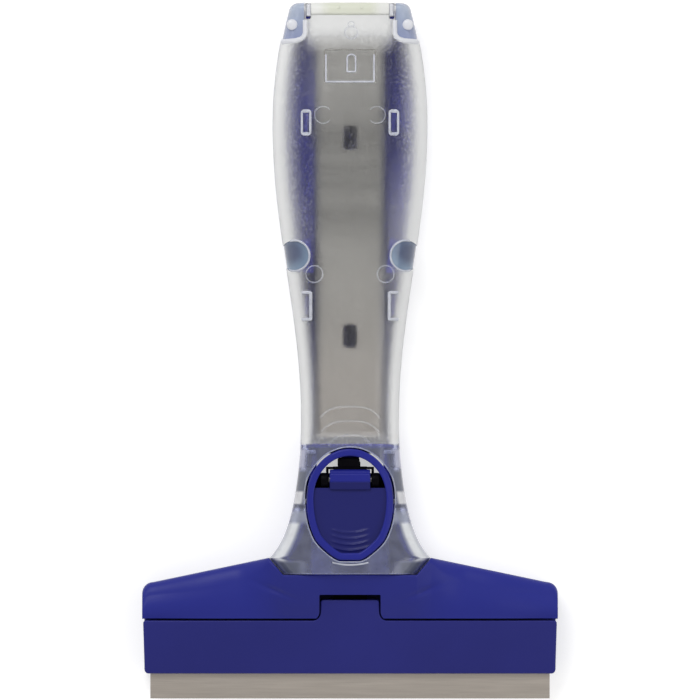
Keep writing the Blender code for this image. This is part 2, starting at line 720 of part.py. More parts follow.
def seat_peg(name, side):
    """A peg that fills one slot of the blade."""
    centre = side * BLADE_SLOT_SPACING / 2
    across = BLADE_SLOT_LENGTH / 2 - GAP
    along = BLADE_SLOT_WIDTH / 2 - GAP
    y = EDGE_Y + BLADE_DEPTH / 2
    low = (centre - across, y - along, SEAT_THICKNESS / 2)
    return box(name, low, (centre + across, y + along, SEAT_THICKNESS + PEG_HEIGHT))


def blade(name, centre, lengthwise, finish):
    """A flat blade with two slots, its length across the tool or along it."""
    half = Vector((BLADE_LENGTH, BLADE_DEPTH, BLADE_THICKNESS)) / 2
    slot = Vector((BLADE_SLOT_LENGTH / 2, BLADE_SLOT_WIDTH / 2, OVERRUN))
    step = Vector((BLADE_SLOT_SPACING / 2, 0, 0))
    if lengthwise:
        half.x, half.y = half.y, half.x
        slot.x, slot.y = slot.y, slot.x
        step.x, step.y = step.y, step.x
    made = box(name, centre - half, centre + half, finish)
    for word, sign in (("first", -1), ("second", 1)):
        middle = centre + sign * step
        combine(made, "DIFFERENCE", box(f"{name}_slot_{word}", middle - slot, middle + slot))
    return made


def jaw_section(y, half, height):
    """The jaw across the tool at one Y, with its front corners rounded."""
    corner = JAW_TOP_ROUND
    points = [(half, JAW_BACK)]
    for angle in JAW_TURNS_DEG:
        turn = math.radians(angle)
        points.append((half - corner * (1 - math.cos(turn)), height - corner * (1 - math.sin(turn))))
    points += [(-x, z) for x, z in reversed(points)]
    return [Vector((x, y, z)) for x, z in points]


def front_jaw(finish):
    """The blue jaw in front of the blade, with the tongue that the draw bar plugs into."""
    top = SEAM_Y - GAP / 2
    low = JAW_BOTTOM_Y
    foot_half = JAW_HALF_WIDTH - JAW_TAPER
    loops = [
        jaw_section(top, JAW_HALF_WIDTH, HEAD_SEAM_HEIGHT),
        jaw_section(
            (top + low) / 2,
            JAW_HALF_WIDTH - JAW_TAPER / 2,
            (HEAD_SEAM_HEIGHT + JAW_LIP_HEIGHT) / 2 + GAP,
        ),
        jaw_section(low + JAW_TOP_ROUND, foot_half, JAW_LIP_HEIGHT + GAP),
        jaw_section(low, foot_half - JAW_TOP_ROUND / 2, JAW_LIP_HEIGHT - JAW_TOP_ROUND / 2),
    ]
    jaw = loft("front_jaw", loops, finish)
    root = HEAD_SEAM_HEIGHT - JAW_TOP_ROUND
    tongue = plate("jaw_tongue", tongue_outline(0.0), JAW_BACK + GAP, TONGUE_HEIGHT)
    slope_outline = [
        (SEAM_Y + TONGUE_RISE + OVERRUN, TONGUE_HEIGHT),
        (SEAM_Y - 2 * OVERRUN, root),
        (SEAM_Y - 2 * OVERRUN, TONGUE_HEIGHT + OVERRUN),
        (SEAM_Y + TONGUE_RISE + OVERRUN, TONGUE_HEIGHT + OVERRUN),
    ]
    slope = plate("tongue_slope", slope_outline, -NECK_CUT_HALF_WIDTH, NECK_CUT_HALF_WIDTH, "X")
    combine(tongue, "DIFFERENCE", slope)
    combine(jaw, "UNION", tongue)
    half = DRAW_HALF_WIDTH + GAP
    socket_low = (-half, SEAM_Y + TONGUE_RISE - SOCKET_DEPTH - GAP, DRAW_BOTTOM - GAP)
    socket = box("bar_socket", socket_low, (half, SEAM_Y + TONGUE_RISE + OVERRUN, DRAW_TOP + GAP))
    return combine(jaw, "DIFFERENCE", socket, *both_sides(peg_groove, "peg_groove"))


def peg_groove(name, side):
    """A groove in the jaw's back that lets it slide off over a peg."""
    centre = side * BLADE_SLOT_SPACING / 2
    across = BLADE_SLOT_LENGTH / 2
    low = EDGE_Y + BLADE_DEPTH / 2 - BLADE_SLOT_WIDTH / 2 - GAP
    top = SEAT_THICKNESS + PEG_HEIGHT + GAP
    return box(name, (centre - across, low, JAW_BACK - OVERRUN), (centre + across, SEAM_Y + OVERRUN, top))


def about_axle(points):
    """Turns (y, z) offsets from the axle into places."""
    return [(AXLE.y + y, AXLE.z + z) for y, z in points]


def frame_arm(name, side):
    """One ear on the axle and the arm that rises to it from behind the lever's floor."""
    base = FRAME_TOP - FRAME_THICKNESS / 2 - AXLE.z
    back = ARM_SETBACK + ARM_DEPTH
    outline = [(-y * ARM_DROP, -z * ARM_DROP) for y, z in ARM_TOP_SHARES]
    outline += [(-back, -ARM_DROP), (-back, base)]
    outline += [(-ARM_SETBACK, base), (-ARM_SETBACK, -ARM_DROP * ARM_HIP_SHARE)]
    outline += [(-y * ARM_DROP, -z * ARM_DROP) for y, z in ARM_FOOT_SHARES]
    x0, x1 = spanned(side, EAR_INNER, EAR_INNER + EAR_WIDTH)
    arm = plate(name, about_axle(outline), x0, x1, "X")
    middle = Vector(((x0 + x1) / 2, AXLE.y, AXLE.z))
    ear = cylinder(name + "_ear", middle, EAR_RADIUS, EAR_WIDTH, "X", PIN_SIDES)
    return combine(arm, "UNION", ear)


def arc_points(radius, start, stop):
    """Offsets (y, z) along an arc about the axle, in degrees up from +Y."""
    turns = [math.radians(start + (stop - start) * i / ARC_STEPS) for i in range(ARC_STEPS + 1)]
    return [(radius * math.cos(turn), radius * math.sin(turn)) for turn in turns]


def neck_frame(finish):
    """The black moulding: a plate under the draw bar, two legs, the ears and the bar above the barrel."""
    low_y = HEAD_TOP_Y - FRAME_IN_HEAD
    half = FRAME_HALF_WIDTH
    frame = box("neck_frame", (-half, low_y, FRAME_BOTTOM), (half, low_y + FRAME_LENGTH, FRAME_TOP), finish)

    def leg(name, side):
        x0, x1 = spanned(side, FRAME_LEG_INNER, FRAME_LEG_INNER + FRAME_LEG_WIDTH)
        start = HEAD_TOP_Y + FRAME_LEG_WIDTH
        foot = SHELL_WALL + GAP
        end = start + FRAME_LEG_LENGTH
        return box(name, (x0, start, foot), (x1, end, FRAME_BOTTOM + FRAME_THICKNESS / 2))

    combine(frame, "UNION", *both_sides(leg, "frame_leg"), *both_sides(frame_arm, "frame_arm"))
    inner = BARREL_RADIUS + GAP
    outer = inner + CROSSBAR_WALL
    strip = arc_points(inner, CROSSBAR_FROM_DEG, CROSSBAR_TO_DEG)
    strip += reversed(arc_points(outer, CROSSBAR_FROM_DEG, CROSSBAR_TO_DEG))
    reach = EAR_INNER + CROSSBAR_WEB
    crossbar = plate("crossbar", about_axle(strip), -reach, reach, "X")

    def web(name, side):
        x0, x1 = spanned(side, EAR_INNER, reach)
        start = CROSSBAR_FROM_DEG + CROSSBAR_WEB_INSET_DEG
        stop = CROSSBAR_TO_DEG - CROSSBAR_WEB_INSET_DEG
        sector = [(0.0, 0.0), *arc_points(outer - CROSSBAR_WALL / 2, start, stop)]
        return plate(name, about_axle(sector), x0, x1, "X")

    stem_low = (-STEM_HALF_WIDTH, AXLE.y + inner + CROSSBAR_WALL / 2, AXLE.z - STEM_HALF_HEIGHT)
    stem = box("stem", stem_low, (STEM_HALF_WIDTH, AXLE.y + STEM_REACH, AXLE.z + STEM_HALF_HEIGHT))
    combine(frame, "UNION", *both_sides(web, "crossbar_web"), crossbar, stem)
    bore = cylinder("ear_bore", AXLE, AXLE_RADIUS + GAP, 2 * NECK_CUT_HALF_WIDTH, "X", PIN_SIDES)
    return combine(frame, "DIFFERENCE", bore)


def lever_axle(finish):
    """The pin through the ears and the lever's barrel."""
    return cylinder("lever_axle", AXLE, AXLE_RADIUS, 2 * (EAR_INNER + EAR_WIDTH), "X", PIN_SIDES, finish)


def thumb_rib(name, index):
    """One shallow rib across the lever's floor, sagging in the middle."""
    y = LEVER_TAIL_Y + THUMB_RIBS_FROM_TAIL - THUMB_RIB_SPACING * (index - THUMB_RIBS / 2)
    half = THUMB_RIB_HALF_LENGTH
    upper, lower = [], []
    for i in range(RIB_STEPS + 1):
        share = 2 * i / RIB_STEPS - 1
        middle = y + THUMB_RIB_SAG * (share**2 - 1)
        upper.append((share * half, middle + THUMB_RIB_WIDTH / 2))
        lower.append((share * half, middle - THUMB_RIB_WIDTH / 2))
    floor_top = LEVER_BOTTOM + LEVER_FLOOR
    return plate(name, upper + lower[::-1], floor_top - LEVER_FLOOR / 2, floor_top + THUMB_RIB_HEIGHT)


def clamp_lever(finish):
    """The oval lever: rim, dished floor, window, barrel and crank nose in one moulding."""
    lever = plate("clamp_lever", lever_outline(), LEVER_BOTTOM, RIM_TOP + GAP, finish=finish)
    crown = loft("lever_crown", [handle_section(y, -LEVER_PROUD) for y in handle_stations()])
    combine(lever, "INTERSECT", crown)
    soften(lever, LEVER_EDGE_ROUND)
    through = plate("lever_through", lever_outline(-LEVER_RIM), LEVER_BOTTOM - OVERRUN, RIM_TOP + OVERRUN)
    combine(lever, "DIFFERENCE", through)
    floor_outline = lever_outline(-LEVER_RIM / 2)
    floor = plate("lever_floor", floor_outline, LEVER_BOTTOM + GAP, LEVER_BOTTOM + LEVER_FLOOR)
    window_edge = AXLE.y - LEVER_WINDOW_SETBACK
    window = box(
        "lever_window",
        (-LEVER_HALF_WIDTH, window_edge, 0.0),
        (LEVER_HALF_WIDTH, AXLE.y + LEVER_TOP_REACH, PALM_HEIGHT),
    )
    combine(floor, "DIFFERENCE", window)
    combine(lever, "UNION", floor)
    barrel = cylinder("lever_barrel", AXLE, BARREL_RADIUS, 2 * BARREL_HALF_LENGTH, "X", BARREL_SIDES)
    swing = math.radians(CRANK_DEG)
    along = Vector((0, math.cos(swing), -math.sin(swing)))
    aside = Vector((0, -along.z, along.y)) * CRANK_WEB / 2
    ends = [-aside, aside, along * CRANK_RADIUS + aside, along * CRANK_RADIUS - aside]
    web = plate("crank_web", about_axle([(p.y, p.z) for p in ends]), -CRANK_HALF_WIDTH, CRANK_HALF_WIDTH, "X")
    nose_at = AXLE + along * CRANK_RADIUS
    nose = cylinder("crank_nose", nose_at, CRANK_NOSE_RADIUS, 2 * CRANK_HALF_WIDTH, "X", POST_SIDES)
    combine(lever, "UNION", barrel, web, nose)
    combine(lever, "UNION", *[thumb_rib(f"thumb_rib_{i}", i) for i in range(THUMB_RIBS)])
    bore = cylinder("barrel_bore", AXLE, AXLE_RADIUS + GAP, 2 * NECK_CUT_HALF_WIDTH, "X", PIN_SIDES)
    return combine(lever, "DIFFERENCE", bore)


def draw_bar(finish):
    """The black bar: its block takes the crank nose, its far end plugs into the jaw's tongue."""
    nose_y = AXLE.y + CRANK_RADIUS * math.cos(math.radians(CRANK_DEG))
    room = CRANK_NOSE_RADIUS + RUNNING_GAP
    end = nose_y + room + DRAW_END_WALL
    foot = SEAM_Y + TONGUE_RISE - SOCKET_DEPTH
    main_end = end - DRAW_END_SETBACK
    low, high = (-DRAW_HALF_WIDTH, foot, DRAW_BOTTOM), (DRAW_HALF_WIDTH, main_end, DRAW_TOP)
    bar = box("draw_bar", low, high, finish)
    notch_low = AXLE.z - CRANK_RADIUS - CRANK_NOSE_RADIUS - GAP
    block_top = AXLE.z - BARREL_RADIUS - RUNNING_GAP
    block_half = DRAW_BLOCK_HALF_WIDTH
    block_start = AXLE.y - DRAW_BLOCK_BACK
    block = box(
        "draw_block", (-block_half, block_start, notch_low - DRAW_BLOCK_FLOOR), (block_half, end, block_top)
    )
    root = box(
        "draw_block_root", (-block_half, block_start, DRAW_TOP - GAP), (block_half, main_end, block_top - GAP)
    )
    notch = box(
        "nose_notch",
        (-NECK_CUT_HALF_WIDTH, nose_y - room, notch_low),
        (NECK_CUT_HALF_WIDTH, nose_y + room, AXLE.z),
    )
    combine(bar, "UNION", root, block)
    return combine(bar, "DIFFERENCE", notch)


def blade_drawer(finish):
    """The milky tray of spare blades, with the cap that closes the handle's end."""
    foot = BLADES_Y - BLADE_LENGTH / 2 - GAP - DRAWER_FOOT_WALL
    half = DRAWER_HALF_WIDTH
    top = DRAWER_BOTTOM + DRAWER_DEPTH
    tray = box("blade_drawer", (-half, foot, DRAWER_BOTTOM), (half, CAP_Y + GAP, top), finish)
    pocket_half = BLADE_DEPTH / 2 + GAP
    floor = DRAWER_BOTTOM + DRAWER_FLOOR
    pocket = box(
        "blade_pocket",
        (-pocket_half, BLADES_Y - BLADE_LENGTH / 2 - GAP, floor),
        (pocket_half, BLADES_TOP_Y + GAP, top + OVERRUN),
    )
    combine(tray, "DIFFERENCE", pocket)
    open_half = half - DRAWER_FLOOR_RAIL
    span = (BLADE_LENGTH - (FLOOR_WINDOWS + 1) * DRAWER_FLOOR_BAR) / FLOOR_WINDOWS
    for i in range(FLOOR_WINDOWS):
        start = BLADES_Y - BLADE_LENGTH / 2 + DRAWER_FLOOR_BAR + i * (span + DRAWER_FLOOR_BAR)
        gap_low = (-open_half, start, DRAWER_BOTTOM - OVERRUN)
        window = box(f"floor_window_{i}", gap_low, (open_half, start + span, floor + OVERRUN))
        combine(tray, "DIFFERENCE", window)
    cap = handle_body("drawer_cap")
    cap_low = (-CAP_HALF_WIDTH, CAP_Y, DRAWER_BOTTOM)
    trim = box("cap_trim", cap_low, (CAP_HALF_WIDTH, END_Y + OVERRUN, PALM_HEIGHT))
    combine(cap, "INTERSECT", trim)
    return combine(tray, "UNION", cap)


def spare_blades(finish):
    """The stack in the drawer, each blade just clear of the next."""
    lowest = DRAWER_BOTTOM + DRAWER_FLOOR + GAP + BLADE_THICKNESS / 2
    pitch = BLADE_THICKNESS + GAP
    stack = []
    for i in range(SPARE_BLADES):
        centre = Vector((0, BLADES_Y, lowest + i * pitch))
        stack.append(blade(f"spare_blade_{i + 1}", centre, True, finish))
    return stack


def drawer_catch(finish):
    """The pressed tongue of the front shell, with the rib that rubs on the drawer's end."""
    catch = loft("drawer_catch", [handle_section(y, 0.0) for y in handle_stations()], finish)
    combine(catch, "INTERSECT", catch_window("catch_trim", 0.0))
    combine(catch, "DIFFERENCE", handle_hollow("catch_hollow"))
    foot = CATCH_Y - CATCH_LENGTH
    wall_top = front_height(foot)
    low = wall_top - SHELL_WALL - CATCH_TOOTH_DROP
    half = CATCH_HALF_WIDTH - CATCH_TOOTH_WIDTH
    high = (half, foot + CATCH_TOOTH_WIDTH, wall_top - SHELL_WALL / 2)
    tooth = box("catch_tooth", (-half, foot, low), high)
    return combine(catch, "UNION", tooth)


def joint(name, place):
    """An empty on a joint's axis, which carries the pieces that move with it."""
    made = bpy.data.objects.new(name, None)
    PARTS.objects.link(made)
    made.location = place
    return made


def carry(carrier, *pieces):
    """Parents pieces to a joint's empty without moving them."""
    bpy.context.view_layer.update()
    for piece in pieces:
        piece.parent = carrier
        piece.matrix_parent_inverse = carrier.matrix_world.inverted()


CLEAR = material("clear_plastic", (0.86, 0.88, 0.90), 0.35, transmission=0.85)
BLUE = material("blue_plastic", (0.028, 0.032, 0.23), 0.38)
BLACK = material("black_plastic", (0.006, 0.005, 0.010), 0.45)
MILKY = material("natural_plastic", (0.80, 0.81, 0.72), 0.45, transmission=0.2)
STEEL = material("blade_steel", (0.42, 0.40, 0.36), 0.32, metallic=1.0)

handle_front_shell(CLEAR)
handle_back_cover(BLUE)
head_housing(BLUE)
blade_seat(BLUE)
neck_frame(BLACK)
lever_axle(STEEL)
work_centre = Vector((0, EDGE_Y + BLADE_DEPTH / 2, BLADE_BACK + BLADE_THICKNESS / 2))
blade("scraper_blade", work_centre, False, STEEL)
carry(joint("lever_hinge", AXLE), clamp_lever(BLUE))
draw_slide = joint("draw_slide", (0, AXLE.y, DRAW_BOTTOM))
carry(draw_slide, draw_bar(BLACK))
carry(joint("jaw_slide", (0, SEAM_Y, JAW_BACK)), front_jaw(BLUE))
carry(joint("drawer_slide", (0, END_Y, DRAWER_BOTTOM)), blade_drawer(MILKY), *spare_blades(STEEL))
carry(joint("catch_hinge", CATCH_HINGE), drawer_catch(CLEAR))
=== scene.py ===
import math

import bmesh
import bpy
import numpy as np
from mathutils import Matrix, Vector


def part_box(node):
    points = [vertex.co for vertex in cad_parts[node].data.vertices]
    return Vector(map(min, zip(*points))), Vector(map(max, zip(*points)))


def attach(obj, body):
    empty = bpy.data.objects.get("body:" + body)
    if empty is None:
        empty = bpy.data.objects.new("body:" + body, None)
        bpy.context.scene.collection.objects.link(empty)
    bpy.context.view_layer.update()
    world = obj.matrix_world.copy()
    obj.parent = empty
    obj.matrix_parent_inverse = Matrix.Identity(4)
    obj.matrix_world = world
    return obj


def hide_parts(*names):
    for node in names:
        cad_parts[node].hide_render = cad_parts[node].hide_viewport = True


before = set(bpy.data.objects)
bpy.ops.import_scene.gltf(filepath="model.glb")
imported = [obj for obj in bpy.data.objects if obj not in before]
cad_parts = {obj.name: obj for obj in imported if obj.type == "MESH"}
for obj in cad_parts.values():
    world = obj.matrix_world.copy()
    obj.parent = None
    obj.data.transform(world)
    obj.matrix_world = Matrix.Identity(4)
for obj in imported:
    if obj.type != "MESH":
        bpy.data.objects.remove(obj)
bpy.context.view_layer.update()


# The sheet the scraper lies on and the two soft boxes that light it. The sheet is plain white card,
# which keeps the tool's own shadow, and the camera hangs straight above as in the picture.
def node(tree, kind, **settings):
    """A node of this kind with these settings."""
    made = tree.nodes.new(kind)
    for key, value in settings.items():
        setattr(made, key, value)
    return made


def feed(tree, value, socket):
    """Joins an output to a socket, or writes a plain number into it."""
    if isinstance(value, bpy.types.NodeSocket):
        tree.links.new(value, socket)
    else:
        socket.default_value = value


def reckon(tree, operation, *values, clamp=False):
    """One sum on sockets or numbers."""
    made = node(tree, "ShaderNodeMath", operation=operation, use_clamp=clamp)
    for value, socket in zip(values, made.inputs):
        feed(tree, value, socket)
    return made.outputs[0]


def apart(tree, place):
    """A place's distance from the middle line, its y and its height."""
    made = node(tree, "ShaderNodeSeparateXYZ")
    feed(tree, place, made.inputs[0])
    return reckon(tree, "ABSOLUTE", made.outputs["X"]), made.outputs["Y"], made.outputs["Z"]


def step_up(tree, value, start, stop, low=0.0, high=1.0):
    """A smooth step that is low where the value is start, and high where it is stop."""
    made = node(tree, "ShaderNodeMapRange", interpolation_type="SMOOTHSTEP")
    feed(tree, value, made.inputs["Value"])
    for name, number in (("From Min", start), ("From Max", stop), ("To Min", low), ("To Max", high)):
        made.inputs[name].default_value = number
    return made.outputs["Result"]


def seen_rays(tree):
    """One for a ray that the camera, a mirror or a window sees the backdrop by, and nought for light."""
    path = node(tree, "ShaderNodeLightPath")
    seen = reckon(tree, "MAXIMUM", path.outputs["Is Camera Ray"], path.outputs["Is Glossy Ray"])
    return reckon(tree, "MAXIMUM", seen, path.outputs["Is Transmission Ray"])


sheet_half, sheet_z = 6.0, -0.0003
sheet_mesh = bpy.data.meshes.new("white_sheet")
sheet_corners = [(x * sheet_half, y * sheet_half, sheet_z) for x, y in ((-1, -1), (1, -1), (1, 1), (-1, 1))]
sheet_mesh.from_pydata(sheet_corners, [], [(0, 1, 2, 3)])
white_sheet = bpy.data.objects.new("white_sheet", sheet_mesh)
bpy.context.scene.collection.objects.link(white_sheet)
card = bpy.data.materials.new("white_card")
card.use_nodes = True
card_tree = card.node_tree
card_shader = card_tree.nodes["Principled BSDF"]
card_shader.inputs["Base Color"].default_value = (0.74, 0.74, 0.74, 1)
card_shader.inputs["Roughness"].default_value = 0.9
card_shader.inputs["Specular IOR Level"].default_value = 0.1
card_shader.inputs["Emission Color"].default_value = (1, 1, 1, 1)
card_glow = reckon(card_tree, "MULTIPLY", seen_rays(card_tree), 0.52)
feed(card_tree, card_glow, card_shader.inputs["Emission Strength"])
white_sheet.data.materials.append(card)

room = bpy.data.worlds.new("white_room")
bpy.context.scene.world = room
room.use_nodes = True
room_tree = room.node_tree
room_light = room_tree.nodes["Background"]
room_light.inputs["Color"].default_value = (1, 1, 1, 1)
room_height = apart(room_tree, node(room_tree, "ShaderNodeTexCoord").outputs["Generated"])[2]
room_share = seen_rays(room_tree)
room_even = reckon(room_tree, "MULTIPLY", reckon(room_tree, "SUBTRACT", 1.0, room_share), 0.52)
room_seen = reckon(room_tree, "MULTIPLY", room_share, step_up(room_tree, room_height, 0.10, 0.60, 1.0, 0.42))
feed(room_tree, reckon(room_tree, "ADD", room_even, room_seen), room_light.inputs["Strength"])


def soft_box(name, place, size, watts):
    """A square area lamp that looks at the middle of the tool."""
    lamp = bpy.data.lights.new(name, "AREA")
    lamp.size = size
    lamp.energy = watts
    hung = bpy.data.objects.new(name, lamp)
    bpy.context.scene.collection.objects.link(hung)
    hung.matrix_world = (-Vector(place)).to_track_quat("-Z", "Y").to_matrix().to_4x4()
    hung.location = place


soft_box("key_box", (-0.25, 0.55, 0.75), 0.45, 3.4)
soft_box("fill_box", (0.6, -0.25, 0.7), 0.5, 1.2)

scene = bpy.context.scene
scene.view_settings.view_transform = "Standard"
eye = bpy.data.cameras.new("straight_down")
eye.sensor_width = 36.0
eye_height = 4.0
picture_width = 0.175
eye.lens = 36.0 * eye_height / picture_width
eye.clip_start, eye.clip_end = 0.1, 20.0
camera = bpy.data.objects.new("straight_down", eye)
scene.collection.objects.link(camera)
camera.location = (0.0, 0.00025, eye_height + 0.012)
scene.camera = camera


# The back cover is a blue moulded panel that closes the hollow grip from behind. It is a shallow
# trough that follows the grip's outline, with a satin finish.
end_y, palm_y, waist_y, flare_y, foot_y = 0.087, 0.0565, -0.01725, -0.05175, -0.05575
palm_half, waist_half, flare_half, foot_half = 0.0194, 0.01225, 0.0201, 0.0167
crest_y, crest_height = end_y - 0.042, 0.022
side_height, below_side = 0.010, 0.0104
wall = end_round = 0.0016


def eased(share):
    """Half a cosine wave from nought to one, level at both ends."""
    return (1 - np.cos(np.pi * np.clip(share, 0, 1))) / 2


def end_loss(y):
    """How far the quarter round at the grip's end has drawn in: r less the root of r squared less s
    squared."""
    short = np.clip(end_round - (end_y - np.minimum(y, end_y)), 0, end_round)
    return end_round - np.sqrt(end_round**2 - short**2)


def grip_half(y):
    """Half the grip's width: a parabola to the palm, half a cosine to the waist, then a slow square and a
    quick eighth power out to the flare, and a straight line down to the foot."""
    y = np.asarray(y, float)
    palm = palm_half - 0.0043 * ((y - palm_y) / (end_y - palm_y)) ** 2 - end_loss(y)
    waist = palm_half + (waist_half - palm_half) * eased((palm_y - y) / (palm_y - waist_y))
    share = np.clip((waist_y - y) / (waist_y - flare_y), 0, 1)
    flare = waist_half + (flare_half - waist_half) * (0.66 * share**2 + 0.34 * share**8)
    foot = flare_half + (foot_half - flare_half) * (flare_y - y) / (flare_y - foot_y)
    return np.where(y >= palm_y, palm, np.where(y >= waist_y, waist, np.where(y >= flare_y, flare, foot)))


def grip_crest(y):
    """Height of the grip's middle line: half a cosine each way from the palm."""
    y = np.asarray(y, float)
    end = crest_height - 0.0025 * eased((y - crest_y) / (end_y - crest_y)) - end_loss(y)
    neck = crest_height - 0.004 * eased((crest_y - y) / 0.062)
    return np.where(y >= crest_y, end, neck)


def grip_loop(y, inset, count, turn=(0.0, 2 * np.pi)):
    """Sections of the grip: x cubed plus z cubed is one, read off by the angle and stretched to the
    half width and to the crest above, or to the flat back below. One row for each y."""
    angle = np.linspace(*turn, count)
    c, s = np.cos(angle), np.sin(angle)
    size = (np.abs(c) ** 3 + np.abs(s) ** 3) ** (1 / 3)
    c, s = c / size, s / size
    y = np.asarray(y, float)[:, None]
    x = (grip_half(y) - inset) * c
    up = (grip_crest(y) - inset - side_height) * s
    down = (below_side - inset) * s
    z = np.maximum(side_height + np.where(s >= 0, up, down), inset)
    return np.stack([x, np.broadcast_to(y, x.shape), z], axis=-1)


def skin(name, points, wrap_rows=False, wrap_columns=False, lids=False):
    """A piece from a grid of points, rows by columns, each four neighbours a face. It may close round either
    way, and lids close the first and last row."""
    rows, columns = points.shape[:2]
    index = np.arange(rows * columns).reshape(rows, columns)
    down = np.roll(index, -1, 0) if wrap_rows else index[1:]
    here = index if wrap_rows else index[:-1]
    if wrap_columns:
        quads = np.stack([here, np.roll(here, -1, 1), np.roll(down, -1, 1), down], -1)
    else:
        quads = np.stack([here[:, :-1], here[:, 1:], down[:, 1:], down[:, :-1]], -1)
    faces = quads.reshape(-1, 4).tolist()
    if lids:
        faces += [index[0, ::-1].tolist(), index[-1].tolist()]
    mesh = bpy.data.meshes.new(name)
    mesh.from_pydata(points.reshape(-1, 3).tolist(), [], faces)
    return piece_from(name, mesh)


def closed_body(name, rings):
    """A closed body from rings of points, one ring a row."""
    return skin(name, rings, wrap_columns=True, lids=True)


def slab(name, top, under):
    """A closed body between two grids of points with the same rows."""
    return closed_body(name, np.concatenate([top, under[:, ::-1]], axis=1))


def piece_from(name, mesh, sharp=32):
    """A piece from a mesh, with its faces turned outwards and its edges smoothed up to an angle."""
    shape = bmesh.new()
    shape.from_mesh(mesh)
    bmesh.ops.remove_doubles(shape, verts=shape.verts, dist=0.000002)
    bmesh.ops.recalc_face_normals(shape, faces=shape.faces)
    shape.to_mesh(mesh)
    shape.free()
    mesh.shade_smooth()
    mesh.set_sharp_from_angle(angle=math.radians(sharp))
    made = bpy.data.objects.new(name, mesh)
    bpy.context.scene.collection.objects.link(made)
    return made


grip_rows = np.concatenate([
    end_y - end_round * (1 - np.cos(np.linspace(0, np.pi / 2, 8))),
    np.linspace(end_y - 0.0022, waist_y, 110),
    np.linspace(waist_y - 0.0008, flare_y, 56),
    np.linspace(flare_y - 0.0005, foot_y, 8),
])


def trough_edge(y):
    """Half the width of the back opening: two millimetres inside the grip's outline, and less in the neck."""
    neck = eased((-0.0215 - np.asarray(y, float)) / 0.003)
    return grip_half(y) - 0.0022 + 0.0013 * neck


cover_rows = np.concatenate([[0.0850], grip_rows[grip_rows < 0.0848]])
cover_across = np.linspace(-1, 1, 61)


def trough(rows, inset):
    """The inside or outside of the trough: across the opening the height follows the grip's lower round,
    the third root of one less the share of the half width cubed."""
    x = trough_edge(rows)[:, None] * cover_across
    reach = np.abs(x) / (grip_half(rows)[:, None] - inset)
    down = (below_side - inset) * (1 - np.minimum(reach, 1) ** 3) ** (1 / 3)
    z = np.maximum(side_height - down, inset)
    y = np.broadcast_to(rows[:, None], x.shape)
    return np.stack([x, y, z], -1)


back_cover = slab("back_cover_panel", trough(cover_rows, 0.0), trough(cover_rows, wall))


def tint(tree, share, first, second):
    """A colour that goes from the first to the second with the share."""
    made = node(tree, "ShaderNodeMix", data_type="RGBA")
    feed(tree, share, made.inputs["Factor"])
    feed(tree, first if isinstance(first, bpy.types.NodeSocket) else (*first, 1), made.inputs["A"])
    feed(tree, second if isinstance(second, bpy.types.NodeSocket) else (*second, 1), made.inputs["B"])
    return made.outputs["Result"]


def blank_material(name):
    """A new material with its tree and its shader, and the place on the object that its patterns follow."""
    made = bpy.data.materials.new(name)
    made.use_nodes = True
    tree = made.node_tree
    return made, tree, tree.nodes["Principled BSDF"], node(tree, "ShaderNodeTexCoord").outputs["Object"]


def noise(tree, place, scale, detail=2.0):
    """Cloudy noise: one value between nought and one for each place."""
    made = node(tree, "ShaderNodeTexNoise")
    made.inputs["Scale"].default_value = scale
    made.inputs["Detail"].default_value = detail
    feed(tree, place, made.inputs["Vector"])
    return made.outputs["Fac"]


def bumped(tree, shader, height, strength, distance=0.00003):
    """Makes the shader's surface rise and fall with this height."""
    made = node(tree, "ShaderNodeBump")
    made.inputs["Distance"].default_value = distance
    feed(tree, strength, made.inputs["Strength"])
    feed(tree, height, made.inputs["Height"])
    feed(tree, made.outputs["Normal"], shader.inputs["Normal"])


def moulded_blue(name, colour, roughness, grain=0.00035, depth=0.35):
    """Blue plastic with the mould's fine grain: cloudy colour, uneven shine and a faint pebbled bump."""
    made, tree, shader, place = blank_material(name)
    cloud, fine = noise(tree, place, 45.0, 3.0), noise(tree, place, 1 / grain)
    darker = tuple(value * 0.86 for value in colour)
    paler = tuple(min(1.0, value * 1.16 + 0.001) for value in colour)
    base = tint(tree, cloud, darker, paler)
    speck = tint(tree, reckon(tree, "MULTIPLY", fine, 0.10), base, (0.06, 0.06, 0.20))
    feed(tree, speck, shader.inputs["Base Color"])
    shader.inputs["Specular IOR Level"].default_value = 0.22
    feed(tree, reckon(tree, "MULTIPLY_ADD", fine, 0.14, roughness - 0.07), shader.inputs["Roughness"])
    bumped(tree, shader, fine, depth)
    return made, tree, shader, place, speck


# The cover's blue is paler than the head's blue: a painted lift that makes up for the shade it lies in under
# the clear shell.
cover_blue = moulded_blue("cover_blue", (0.020, 0.024, 0.34), 0.38)[0]
back_cover.data.materials.append(cover_blue)
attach(back_cover, "handle")
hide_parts("handle_back_cover")


